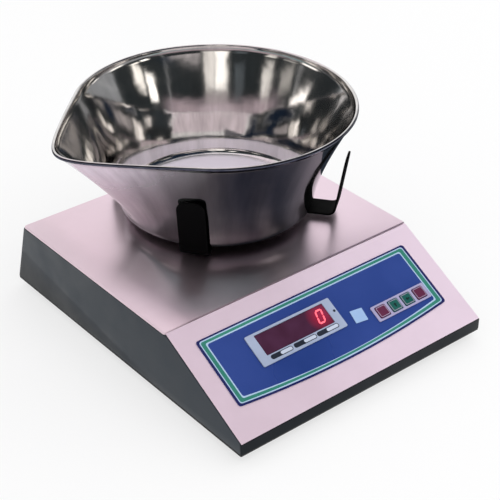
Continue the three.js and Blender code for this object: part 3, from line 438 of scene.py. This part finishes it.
def soften(obj, bevel):
    """Smooth curves, and a bevel on each edge that turns by more than EDGE_ANGLE."""
    mesh = obj.data
    bm = bmesh.new()
    bm.from_mesh(mesh)
    bmesh.ops.remove_doubles(bm, verts=bm.verts, dist=WELD_REACH)
    bmesh.ops.dissolve_limit(bm, angle_limit=FLAT_ANGLE, verts=bm.verts, edges=bm.edges)
    for face in bm.faces:
        face.smooth = True
    for edge in bm.edges:
        edge.smooth = len(edge.link_faces) == 2 and edge.calc_face_angle(0) < EDGE_ANGLE
    bm.to_mesh(mesh)
    bm.free()
    modifier = obj.modifiers.new("soft_edges", "BEVEL")
    modifier.width = bevel * MM
    modifier.segments = BEVEL_STEPS
    modifier.limit_method = "ANGLE"
    modifier.angle_limit = EDGE_ANGLE
    modifier.harden_normals = True
    modifier.use_clamp_overlap = True


def dress(node, material, bevel):
    """A copy of a CAD node with softened edges and smooth curves, standing for it."""
    mesh = frame["nodes"][node].data.copy()
    mesh.materials.clear()
    obj = new_object(node + "_finished", mesh, BODY_OF[node], material)
    soften(obj, bevel)
    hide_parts(node)


def flat_sheet(name, outline, n, body, material, holes=(), thick=0.0):
    """A thin piece on the console from an outline in slope coordinates."""
    bm = bmesh.new()
    edges = []
    for loop in (outline, *holes):
        verts = [bm.verts.new(on_slope(x, t, n)) for x, t in loop]
        edges += [bm.edges.new((a, b)) for a, b in zip(verts, [*verts[1:], verts[0]])]
    bmesh.ops.triangle_fill(bm, use_beauty=True, edges=edges)
    normal = Vector((0, -math.sin(SLOPE), math.cos(SLOPE)))
    for face in bm.faces:
        if face.normal.dot(normal) < 0:
            face.normal_flip()
    if thick > 0:
        made = bmesh.ops.extrude_face_region(bm, geom=bm.faces[:])
        moved = [v for v in made["geom"] if isinstance(v, bmesh.types.BMVert)]
        bmesh.ops.translate(bm, verts=moved, vec=normal * thick * MM)
        bmesh.ops.recalc_face_normals(bm, faces=bm.faces[:])
    mesh = bpy.data.meshes.new(name)
    bm.to_mesh(mesh)
    bm.free()
    return new_object(name, mesh, body, material)


def arc(cx, ct, radius, start, end, steps=6):
    points = []
    for i in range(steps + 1):
        angle = math.radians(start + (end - start) * i / steps)
        points.append((cx + radius * math.cos(angle), ct + radius * math.sin(angle)))
    return points


def rounded(left, right, low, high, radius):
    """A rectangle with rounded corners."""
    return (
        arc(right - radius, low + radius, radius, -90, 0)
        + arc(right - radius, high - radius, radius, 0, 90)
        + arc(left + radius, high - radius, radius, 90, 180)
        + arc(left + radius, low + radius, radius, 180, 270)
    )


def bowed(left, right, low, high, bow, radius, steps=40):
    """The label's outline: straight ends and top, and a lower side that bows out."""
    points = []
    middle, half = (left + right) / 2, (right - left) / 2
    for i in range(steps + 1):
        share = i / steps
        x = left + radius + (right - left - 2 * radius) * share
        points.append((x, low - bow * (1 - ((x - middle) / (half - radius)) ** 2)))
    points += arc(right - radius, low + radius, radius, -80, 0, 5)
    points += arc(right - radius, high - radius, radius, 0, 90)
    points += arc(left + radius, high - radius, radius, 90, 180)
    points += arc(left + radius, low + radius, radius, 180, 260, 5)
    return points


# Bowl: the part's own form with finer steps
BOWL_AXIS = at(27.2, 258.2, 0)
BOWL_WALL = 1.2
FLOOR_RINGS = (30, 60, 80)
FLOOR_RADIUS = 92.0
FOOT_RADIUS = 99.5
FOOT_HEIGHT = 8.5
RIM_RADIUS = 141.5
BEAD = 1.8
BEAD_START, BEAD_SWEEP = -math.pi / 3, 4 * math.pi / 3
BOWL_DEPTH = 106.2
BOWL_FLARE = 1.4
SPOUT_REACH = 185.3
SPOUT_LIFT = 5.2
SPOUT_TURN = math.radians(180.8)
SPOUT_ROUNDING = 0.12
SPOUT_SPREAD = 2.2
SPOUT_CROWDING = 0.55
BOWL_SIDES = 288
CORNER_STEPS = 8
WALL_STEPS = 20
BEAD_STEPS = 12
BEAD_OUTER_STEPS = 7
OUTER_STEEL, INNER_STEEL, RIM_STEEL = 0, 1, 2


def spout_radius(angle, radius, reach):
    """How far a ring reaches at an angle from the spout, whose straight flanks touch the round."""
    if reach <= radius:
        return radius
    off = math.sqrt(angle * angle + SPOUT_ROUNDING**2) - SPOUT_ROUNDING
    half = math.acos(radius / reach)
    return radius / math.cos(off - half) if off < half else radius


def bowl_ring(radius, z, share, inset=0.0):
    """A ring round the bowl, share of the way up to the rim, crowded towards the spout."""
    reach = radius + (SPOUT_REACH - RIM_RADIUS) * share
    lift = SPOUT_LIFT * share
    ring = []
    for i in range(BOWL_SIDES):
        even = -math.pi + 2 * math.pi * i / BOWL_SIDES
        angle = even - SPOUT_CROWDING * math.sin(even)
        away = spout_radius(angle, radius, reach) - inset
        fade = max(0.0, 1 - abs(angle) / SPOUT_SPREAD)
        turn = angle + SPOUT_TURN
        spot = Vector((away * math.cos(turn), away * math.sin(turn), BOWL_BASE + z + lift * fade))
        ring.append(BOWL_AXIS + spot * MM)
    return ring


def wall_radius(z):
    share = min(1.0, max(0.0, (z - FOOT_HEIGHT) / (BOWL_DEPTH - FOOT_HEIGHT)))
    top = RIM_RADIUS - 2 * BEAD + BOWL_WALL
    return FOOT_RADIUS + (top - FOOT_RADIUS) * share**BOWL_FLARE


def corner_rings(inset):
    """The rounded foot, from the flat floor to the wall."""
    rings = []
    for i in range(1, CORNER_STEPS + 1):
        angle = i * math.pi / (2 * CORNER_STEPS)
        radius = FLOOR_RADIUS + (FOOT_RADIUS - FLOOR_RADIUS - inset) * math.sin(angle)
        height = FOOT_HEIGHT - (FOOT_HEIGHT - inset) * math.cos(angle)
        rings.append(bowl_ring(radius, height, 0))
    return rings


def bead_rings():
    """The rolled rim."""
    middle = wall_radius(BOWL_DEPTH) - BOWL_WALL + BEAD
    rings = []
    for i in range(BEAD_STEPS + 1):
        angle = BEAD_START + i * BEAD_SWEEP / BEAD_STEPS
        height = BOWL_DEPTH + BEAD + BEAD * math.sin(angle)
        rings.append(bowl_ring(middle + BEAD * math.cos(angle), height, 1))
    return rings


def make_bowl(*steels):
    outside = [bowl_ring(FLOOR_RADIUS, 0, 0), *corner_rings(0)]
    inside = [bowl_ring(radius, BOWL_WALL, 0) for radius in (*FLOOR_RINGS, FLOOR_RADIUS)]
    inside += corner_rings(BOWL_WALL)
    for i in range(1, WALL_STEPS + 1):
        share = i / WALL_STEPS
        z = FOOT_HEIGHT + (BOWL_DEPTH - FOOT_HEIGHT) * share
        outside.append(bowl_ring(wall_radius(z), z, share))
        inside.append(bowl_ring(wall_radius(z), z, share, BOWL_WALL))
    bm = bmesh.new()
    rings = [*outside, *bead_rings(), *reversed(inside)]
    grid = [[bm.verts.new(point) for point in ring] for ring in rings]
    rim_start = len(outside) - 1
    inner_start = rim_start + BEAD_OUTER_STEPS
    for number, (low, high) in enumerate(zip(grid, grid[1:])):
        steel = OUTER_STEEL if number < rim_start else RIM_STEEL
        steel = INNER_STEEL if number >= inner_start else steel
        for i in range(BOWL_SIDES):
            j = (i + 1) % BOWL_SIDES
            face = bm.faces.new((low[i], low[j], high[j], high[i]))
            face.smooth = True
            face.material_index = steel
    bm.faces.new(list(reversed(grid[0]))).smooth = True
    floor = bm.faces.new(grid[-1])
    floor.smooth = True
    floor.material_index = INNER_STEEL
    bmesh.ops.recalc_face_normals(bm, faces=bm.faces[:])
    mesh = bpy.data.meshes.new("bowl_spun")
    bm.to_mesh(mesh)
    bm.free()
    obj = new_object("bowl_spun", mesh, "bowl", *steels)
    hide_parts("bowl")


# Display digit: slanted seven-segment strokes
DIGIT_X = -3.9
DIGIT_T = 72.3
DIGIT_HEIGHT = 14.4
DIGIT_WIDTH = 8.4
DIGIT_SLANT = 0.25
STROKE = 1.7
STROKE_GAP = 0.12
STROKE_LIFT = 0.02
STROKE_THICK = 0.02


def stroke_outline(a, b):
    """A stroke with pointed ends between two points in upright digit coordinates."""
    length = math.hypot(b[0] - a[0], b[1] - a[1])
    ux, ut = (b[0] - a[0]) / length, (b[1] - a[1]) / length
    start, end = STROKE_GAP, length - STROKE_GAP
    half = STROKE / 2
    outline = []
    for along, side in (
        (start, 0),
        (start + half, -half),
        (end - half, -half),
        (end, 0),
        (end - half, half),
        (start + half, half),
    ):
        x = a[0] + ux * along - ut * side
        t = a[1] + ut * along + ux * side
        outline.append((DIGIT_X + x + t * DIGIT_SLANT, DIGIT_T + t))
    return outline


def make_digit(material):
    w, h = (DIGIT_WIDTH - STROKE) / 2, (DIGIT_HEIGHT - STROKE) / 2
    strokes = {
        "top": ((-w, h), (w, h)),
        "upper_right": ((w, h), (w, 0)),
        "lower_right": ((w, 0), (w, -h)),
        "bottom": ((w, -h), (-w, -h)),
        "lower_left": ((-w, -h), (-w, 0)),
        "upper_left": ((-w, 0), (-w, h)),
    }
    n = WINDOW_TOP + STROKE_LIFT
    for name, (a, b) in strokes.items():
        outline = stroke_outline(a, b)
        piece = flat_sheet(
            f"lit_segment_{name}", outline, n, "base", material, thick=STROKE_THICK
        )


# Printing on the console: left, right, low, high, bow and corner of each limit, from outside in
BAND_LIMITS = (
    (-129.7, 128.3, 30.3, 102.4, 6.9, 3.0),
    (-127.2, 125.5, 32.2, 100.7, 6.8, 2.6),
    (-126.2, 124.4, 33.1, 99.6, 6.4, 2.4),
    (-122.2, 119.9, 35.9, 97.0, 7.1, 2.0),
    (-120.9, 118.6, 37.2, 95.7, 7.8, 2.4),
)

# The three marks under the window, each dark at its left and pale at its right
MARK_ENDS = ((-74.7, -49.0), (-47.3, -20.1), (-19.2, 7.4))
MARK_T = 57.3
MARK_HEIGHT = 4.8
MARK_SPLIT = 0.45
MARK_MARGIN = 0.75
DOT = (11.2, 14.0, 69.8, 72.6, 1.35)

KEY_MIDDLE_X = 82.8
KEY_PITCH = 16.4
KEY_X = [KEY_MIDDLE_X + (i - 1.5) * KEY_PITCH for i in range(4)]
KEY_T = 49.6
KEY_NAMES = ("key_left_maroon", "key_left_green", "key_right_green", "key_right_maroon")
KEY_LINE_OUTER = (5.6, 5.3, 1.2)
KEY_LINE_INNER = (5.1, 4.8, 0.9)
ARROW_SIZE = 4.6
ARROW = (
    (-0.5, -0.16),
    (0.05, -0.16),
    (0.05, -0.42),
    (0.5, 0),
    (0.05, 0.42),
    (0.05, 0.16),
    (-0.5, 0.16),
)


def make_bands(navy, pale, green):
    """The label's printed border: navy, pale line, green, pale line, round the blue field."""
    outlines = [bowed(*limit) for limit in BAND_LIMITS]
    bands = (("navy", navy), ("outer_line", pale), ("green", green), ("inner_line", pale))
    n = LABEL_TOP + PRINT_LIFT
    for (name, material), outer, inner in zip(bands, outlines, outlines[1:]):
        ring = flat_sheet(f"label_band_{name}", outer, n, "base", material, holes=[inner])


def make_marks(dark, pale):
    """The marks under the window and the dot beside it."""
    low, high = MARK_T - MARK_HEIGHT / 2, MARK_T + MARK_HEIGHT / 2
    # A radius of half the height would set two corners of the outline on one point
    radius = MARK_HEIGHT / 2 - 0.1
    n = BEZEL_TOP + PRINT_LIFT
    for number, (left, right) in enumerate(MARK_ENDS, 1):
        outer = rounded(left, right, low, high, radius)
        whole = flat_sheet(f"bezel_mark_{number}", outer, n, "base", dark)
        inner = rounded(
            left + (right - left) * MARK_SPLIT,
            right - MARK_MARGIN,
            low + MARK_MARGIN,
            high - MARK_MARGIN,
            MARK_HEIGHT / 2 - 0.9,
        )
        light = flat_sheet(f"bezel_mark_light_{number}", inner, n + PRINT_LIFT, "base", pale)
    dot = flat_sheet("bezel_dot", rounded(*DOT), n, "base", dark)


def arrow(cx, ct, turn):
    """A plain arrow of a shaft and a head."""
    c, s = math.cos(turn), math.sin(turn)
    turned = [(x * c - y * s, x * s + y * c) for x, y in ARROW]
    return [(cx + ARROW_SIZE * x, ct + ARROW_SIZE * t) for x, t in turned]


def key_outline(x, half_width, half_height, radius):
    return rounded(
        x - half_width, x + half_width, KEY_T - half_height, KEY_T + half_height, radius
    )


def make_key_prints(ink, line):
    """An arrow on each green key, up and to the left, and a line round each key."""
    n = KEY_TOP + PRINT_LIFT
    for number, turn in ((1, math.pi / 2), (2, math.pi)):
        name = KEY_NAMES[number]
        outline = arrow(KEY_X[number], KEY_T, turn)
        piece = flat_sheet(f"{name}_arrow", outline, n, name, ink)
    for name, x in zip(KEY_NAMES, KEY_X):
        outer, inner = key_outline(x, *KEY_LINE_OUTER), key_outline(x, *KEY_LINE_INNER)
        ring = flat_sheet(f"{name}_line", outer, n, name, line, holes=[inner])


# Finishes of the metal sheets: tones, then roughness and how much they mirror
outer_tones = (srgb(158, 164, 162), srgb(182, 187, 185), srgb(202, 206, 204))
inner_tones = (srgb(196, 193, 192), srgb(220, 217, 215), srgb(236, 233, 232))
# The rim's tones are a painted reflection: darker than the rest of the bowl's steel
rim_reflection_tones = (srgb(56, 58, 72), srgb(80, 82, 96), srgb(108, 109, 120))
# The outer wall's steel gets the painted reflection and the painted shade
bowl_outside = polished_bowl("bowl_outer_steel", outer_tones, True)
bowl_inside = polished_bowl("bowl_inner_steel", inner_tones, False)
bowl_rim = polished_bowl("bowl_rim_steel", rim_reflection_tones, False)
# The left and right tones of each pale sheet: the darker left one is painted shade
pan_shade_tones = (srgb(230, 207, 217), srgb(248, 225, 238))
panel_shade_tones = (srgb(232, 209, 223), srgb(252, 230, 246))
pan_sheet = pale_sheet("pan_steel", *pan_shade_tones, 0.31, (0.25, 0.94, 1.0))
panel_sheet = pale_sheet("console_steel", *panel_shade_tones, 0.4, (0.3, 0.3, 0.3))
# The second colour is the painted shade of the front lip
slate = housing_paint("slate_paint", srgb(40, 49, 58), srgb(16, 22, 29))

# Finishes of the other pieces: colour, roughness, scale of the grain, change of tone, bump
black_coat = plain("cradle_black", srgb(3, 3, 4), 0.75, 220, 0.25, 0.2, gleam=0.1)
black_paint = plain("black_paint", srgb(22, 22, 24), 0.5, 260, 0.2, 0.3)
blue_film = plain("label_blue", srgb(34, 62, 136), 0.3, 90, 0.16, 0.04)
navy_film = plain("label_navy", srgb(24, 30, 92), 0.3, 90, 0.08, 0.04)
green_film = plain("label_green", srgb(48, 128, 112), 0.3, 120, 0.12, 0.04)
line_film = plain("label_line", srgb(170, 196, 224), 0.3, 120, 0.06, 0.04)
bezel_film = plain("bezel_pale", srgb(160, 172, 198), 0.32, 200, 0.08, 0.1)
mark_dark = plain("mark_dark", srgb(38, 44, 58), 0.35, 200, 0.15, 0.05)
mark_pale = plain("mark_pale", srgb(196, 205, 224), 0.35, 200, 0.08, 0.05)
maroon = plain("key_maroon", srgb(98, 34, 68), 0.35, 320, 0.12, 0.2)
green_key = plain("key_green", srgb(16, 92, 84), 0.35, 320, 0.12, 0.2)
key_ink = plain("key_ink", srgb(14, 38, 40), 0.4, 300, 0.1, 0.05)
key_line = plain("key_line", srgb(170, 158, 186), 0.4, 300, 0.1, 0.05)
lavender = plain("key_frame_lavender", srgb(166, 160, 196), 0.35, 260, 0.08, 0.1)
sticker = plain("sticker_pale", srgb(158, 188, 228), 0.25, 240, 0.05, 0.05)
filter_red = filter_glass()
lit_red = lit_stroke("lit_red", srgb(255, 92, 108))
zinc = plain("zinc_plate", srgb(160, 164, 168), 0.36, 300, 0.1, 0.15, metal=0.85)
aluminium = plain("milled_aluminium", srgb(180, 183, 186), 0.38, 300, 0.06, 0.2, metal=0.9)
rubber = plain("black_rubber", srgb(24, 24, 25), 0.85, 300, 0.2, 0.5)
plastic = plain("black_plastic", srgb(26, 26, 28), 0.4, 300, 0.15, 0.3)
red_plastic = plain("rocker_red", srgb(168, 30, 34), 0.3, 300, 0.08, 0.15)
board = plain("board_green", srgb(30, 92, 58), 0.4, 300, 0.15, 0.2)
led_body = plain("led_body", srgb(36, 34, 38), 0.5, 300, 0.1, 0.2)
battery_case = plain("battery_grey", srgb(58, 61, 66), 0.5, 300, 0.1, 0.4)

# Each CAD node's finish and the width of its softened edges in millimetres
finishes = [
    ("pan", pan_sheet, 0.25),
    ("front_panel", panel_sheet, 0.3),
    ("housing", slate, 0.3),
    ("base_plate", black_paint, 0.2),
    ("overlay_label", blue_film, 0.05),
    ("display_bezel", bezel_film, 0.25),
    ("display_window", filter_red, 0.15),
    ("display_module", led_body, 0.1),
    ("display_board", board, 0.1),
    ("key_frame", lavender, 0.12),
    ("key_board", board, 0.1),
    ("corner_sticker", sticker, 0.05),
    ("key_left_maroon", maroon, 0.25),
    ("key_left_green", green_key, 0.25),
    ("key_right_maroon", maroon, 0.25),
    ("key_right_green", green_key, 0.25),
    ("cradle_strip_side", black_coat, 0.35),
    ("cradle_strip_front", black_coat, 0.35),
    ("cradle_rivet", zinc, 0.2),
    ("power_switch", plastic, 0.4),
    ("power_rocker", red_plastic, 0.3),
    ("charger_socket", plastic, 0.3),
    ("battery", battery_case, 0.4),
    ("battery_strap", zinc, 0.2),
    ("main_board", board, 0.1),
    ("load_beam", zinc, 0.3),
    ("load_cell", aluminium, 0.4),
    ("lower_spacer", aluminium, 0.3),
    ("upper_spacer", aluminium, 0.3),
    ("spider", zinc, 0.4),
    ("overload_stop", zinc, 0.2),
]
for i in range(1, 5):
    finishes += [
        (f"foot_pad_{i}", rubber, 0.4),
        (f"foot_screw_{i}", zinc, 0.2),
        (f"housing_screw_{i}", zinc, 0.2),
        (f"pillar_{i}", zinc, 0.2),
        (f"pan_bush_{i}", rubber, 0.3),
        (f"cradle_pad_{i}", rubber, 0.3),
    ]
for i in range(1, 3):
    finishes += [(f"lower_bolt_{i}", zinc, 0.2), (f"upper_bolt_{i}", zinc, 0.2)]

make_bowl(bowl_outside, bowl_inside, bowl_rim)
for node, material, bevel in finishes:
    dress(node, material, bevel)
make_bands(navy_film, line_film, green_film)
make_marks(mark_dark, mark_pale)
make_key_prints(key_ink, key_line)
make_digit(lit_red)

# Camera at the photograph's viewpoint: degrees, the housing's millimetres, and its lens
CAMERA_AZIMUTH = -39.1536
CAMERA_ELEVATION = 32.3659
CAMERA_ROLL = -0.152
CAMERA_PLACE = (-715.06, -707.15, 795.61)
CAMERA_LENS = 98.629
CAMERA_SENSOR = 36
CAMERA_FAR = 50


def place_camera():
    az, el = math.radians(CAMERA_AZIMUTH), math.radians(CAMERA_ELEVATION)
    roll = math.radians(CAMERA_ROLL)
    back = Vector((math.sin(az) * math.cos(el), -math.cos(az) * math.cos(el), math.sin(el)))
    right = Vector((0, 0, 1)).cross(back).normalized()
    up = back.cross(right)
    turned_right = math.cos(roll) * right + math.sin(roll) * up
    turned_up = -math.sin(roll) * right + math.cos(roll) * up
    matrix = Matrix((turned_right, turned_up, back)).transposed().to_4x4()
    matrix.translation = at(*CAMERA_PLACE)
    data = bpy.data.cameras.new("camera")
    data.sensor_width = CAMERA_SENSOR
    data.lens = CAMERA_LENS
    data.clip_end = CAMERA_FAR
    camera = add_object("camera", data)
    camera.matrix_world = matrix
    bpy.context.scene.camera = camera


# Floor, world and lamps
FLOOR_REACH = 6.0
FLOOR_WHITE = (0.88, 0.88, 0.885, 1)
FLOOR_GLOW = 0.68
WORLD_LIGHT, WORLD_SEEN = 0.88, 1.0
LAMP_AIM = Vector((0, 0, 0.1))


def seen_by_eye(tree):
    """1 for what the camera sees, straight or by way of a mirror or a window, else 0."""
    path = tree.nodes.new("ShaderNodeLightPath")
    seen = path.outputs["Is Camera Ray"]
    for ray in ("Is Glossy Ray", "Is Transmission Ray"):
        either = tree.nodes.new("ShaderNodeMath")
        either.operation = "MAXIMUM"
        tree.links.new(seen, either.inputs[0])
        tree.links.new(path.outputs[ray], either.inputs[1])
        seen = either.outputs["Value"]
    return seen


def make_floor():
    """A white floor that keeps the object's shadow."""
    mesh = bpy.data.meshes.new("floor")
    reach = FLOOR_REACH
    corners = [(-reach, -reach, 0), (reach, -reach, 0), (reach, reach, 0), (-reach, reach, 0)]
    mesh.from_pydata(corners, [], [(0, 1, 2, 3)])
    obj = add_object("floor", mesh)
    m = Nodes("floor_white")
    m.set(Base_Color=FLOOR_WHITE, Roughness=0.7)
    m.blend(m.times(seen_by_eye(m.tree), FLOOR_GLOW), m.shader)
    mesh.materials.append(m.material)


def make_world():
    world = bpy.data.worlds.new("studio")
    bpy.context.scene.world = world
    world.use_nodes = True
    tree = world.node_tree
    background = tree.nodes["Background"]
    background.inputs["Color"].default_value = (1, 1, 1, 1)
    strength = tree.nodes.new("ShaderNodeMapRange")
    strength.inputs["To Min"].default_value = WORLD_LIGHT
    strength.inputs["To Max"].default_value = WORLD_SEEN
    tree.links.new(seen_by_eye(tree), strength.inputs["Value"])
    tree.links.new(strength.outputs["Result"], background.inputs["Strength"])


def lamp(name, place, width, power):
    """A soft square lamp that mirrors don't show."""
    data = bpy.data.lights.new(name, "AREA")
    data.shape = "RECTANGLE"
    data.size = data.size_y = width
    data.energy = power
    obj = add_object(name, data)
    obj.location = place
    obj.rotation_euler = (LAMP_AIM - Vector(place)).to_track_quat("-Z", "Y").to_euler()
    obj.visible_glossy = False


# What the steel mirrors: soft-edged glowing sheets that nothing else sees
CARD_STEPS = (48, 24)
PATCH_STEPS = (32, 16)
CARD_RADIUS = 3.0
CARD_SPACING = 0.02
PATCH_HEIGHT = 0.002
SET_CENTRE = Vector((0, 0, 0))
NEAR_CENTRE = BOWL_AXIS + Vector((0, 0, 0.1))


def edge_fade(value, low, high, feather):
    share = min(1.0, (value - low) / feather, (high - value) / feather)
    return share * share * (3 - 2 * share)


def faded_sheet(name, steps, turns, rises, colour, feathers, spot):
    """A grid over a range of turns in degrees and a second range, at the points of spot."""
    across, up = steps
    points, faces, fades = [], [], []
    for j in range(up + 1):
        rise = rises[0] + (rises[1] - rises[0]) * j / up
        row_fade = edge_fade(rise, *rises, feathers[1])
        for i in range(across + 1):
            turn = turns[0] + (turns[1] - turns[0]) * i / across
            points.append(spot(math.radians(turn), rise))
            fades.append(edge_fade(turn, *turns, feathers[0]) * row_fade)
    for j in range(up):
        for i in range(across):
            a = j * (across + 1) + i
            faces.append((a, a + 1, a + across + 2, a + across + 1))
    mesh = bpy.data.meshes.new(name)
    mesh.from_pydata(points, [], faces)
    mesh.attributes.new("fade", "FLOAT", "POINT").data.foreach_set("value", fades)
    obj = add_object(name, mesh)
    m = Nodes(name)
    fade = m.node("ShaderNodeAttribute", attribute_name="fade")
    glow = m.blend(fade.outputs["Fac"], m.node("ShaderNodeBsdfTransparent"))
    glow.inputs["Color"].default_value = (*colour, 1)
    mesh.materials.append(m.material)
    obj.visible_camera = False
    obj.visible_diffuse = False
    obj.visible_shadow = False
    obj.visible_transmission = False


def card(name, azimuths, elevations, colour, feathers, radius, centre=SET_CENTRE):
    """A patch of a dome, in degrees from the front and from level."""

    def spot(azimuth, degrees):
        elevation = math.radians(degrees)
        level = radius * math.cos(elevation)
        x, y = level * math.sin(azimuth), -level * math.cos(azimuth)
        return centre + Vector((x, y, radius * math.sin(elevation)))

    faded_sheet(name, CARD_STEPS, azimuths, elevations, colour, feathers, spot)


def floor_patch(name, azimuths, radii, colour, feathers):
    """A ring sector on the floor round the bowl's axis."""

    def spot(azimuth, radius):
        x = NEAR_CENTRE.x + radius * math.sin(azimuth)
        return x, NEAR_CENTRE.y - radius * math.cos(azimuth), PATCH_HEIGHT

    faded_sheet(name, PATCH_STEPS, azimuths, radii, colour, feathers, spot)


HORIZON = (0.27, 0.36, 0.36)
DARK = (0.026, 0.031, 0.033)
TEAL = (0.008, 0.019, 0.04)
DIM = (0.1, 0.115, 0.125)
HIGH = (0.036, 0.046, 0.052)
MID = (0.3, 0.31, 0.32)
PINK = (0.46, 0.37, 0.4)
WHITE = (1.7, 1.64, 1.55)

# Azimuths, elevations, colour, widths of the soft edges; each stands before those listed above it
cards = (
    ("back_high", (110, 250), (38, 80), (0.95, 0.84, 0.9), (20, 8)),
    ("horizon_left", (-174, -118), (-3, 16), DIM, (14, 3)),
    ("horizon_front", (-132, 24), (-3, 16), HORIZON, (10, 4)),
    ("horizon_right", (15, 66), (-3, 15), MID, (8, 3)),
    ("horizon_far_right", (60, 114), (2, 17), MID, (5, 3)),
    ("dark_front", (-124, 14), (11, 54), DARK, (6, 3)),
    ("dark_back_left", (-178, -118), (6, 31), DARK, (6, 5)),
    ("dark_right", (8, 66), (11, 38), DARK, (4, 3)),
    ("dim_right", (60, 108), (13, 38), MID, (5, 4)),
    ("teal_right", (0, 106), (33, 64), TEAL, (4, 4)),
    ("dim_back_right", (98, 126), (20, 66), (0.16, 0.16, 0.18), (7, 8)),
    ("teal_front", (-36, 106), (50, 88), TEAL, (6, 4)),
    ("dim_front_high", (-118, -30), (48, 88), HIGH, (8, 4)),
    ("window_left_low", (-136, -116), (10.5, 20), (2.1, 2.0, 1.9), (4, 3)),
    ("window_left", (-114, -104), (13, 19), (0.5, 0.45, 0.45), (3, 2)),
    ("streak_far_left", (-117, -102), (20, 31), (0.45, 0.43, 0.4), (4, 4)),
    ("window_front_left", (-96, -84), (13, 23), (1.4, 1.32, 1.24), (3, 3)),
    ("streak_left", (-97, -84), (21, 35), (1.0, 0.96, 0.9), (3, 4)),
    ("window_grey", (-70, -56), (22, 38), DIM, (4, 4)),
    ("window_middle", (-52, -36), (25, 50), WHITE, (4, 6)),
    ("window_high_left", (-70, -57), (47, 60), (1.6, 1.54, 1.46), (3, 4)),
    ("window_middle_low", (-54, -24), (19, 29), (0.4, 0.36, 0.36), (6, 3)),
    ("streak_middle", (-39, -26), (26, 51), (1.1, 1.05, 0.99), (3, 5)),
    ("window_high", (-26, 10), (35, 49), (0.55, 0.51, 0.51), (6, 4)),
    ("glow_right_high", (24, 44), (34, 50), (0.5, 0.47, 0.45), (5, 5)),
    ("window_right", (22, 33), (19.5, 30), (2.0, 1.92, 1.8), (3, 3)),
    ("window_right_2", (33, 45), (21, 31), (1.5, 1.43, 1.32), (3, 3)),
    ("window_right_low", (46, 63), (8, 15), WHITE, (4, 2)),
    ("window_far_right", (75, 86), (3, 9), WHITE, (3, 2)),
)

place_camera()
make_floor()
make_world()
lamp("key_lamp", (0.3, -1.3, 2.2), 2.0, 14)
lamp("fill_lamp", (1.6, 0.6, 1.8), 1.6, 10)
for number, spec in enumerate(cards):
    card(*spec, CARD_RADIUS - CARD_SPACING * number)
floor_patch("floor_grey", (-120, -60), (0.26, 1.0), (0.62, 0.6, 0.61), (16, 0.16))
floor_patch("floor_dark_right", (55, 165), (0.12, 0.9), (0.03, 0.036, 0.05), (14, 0.06))
card("near_band", (-118, 30), (15, 32), PINK, (26, 8), 0.5, NEAR_CENTRE)
card("near_band_bright", (-66, -12), (17, 31), (0.6, 0.5, 0.54), (20, 7), 0.49, NEAR_CENTRE)

scene = bpy.context.scene
scene.view_settings.view_transform = "Standard"
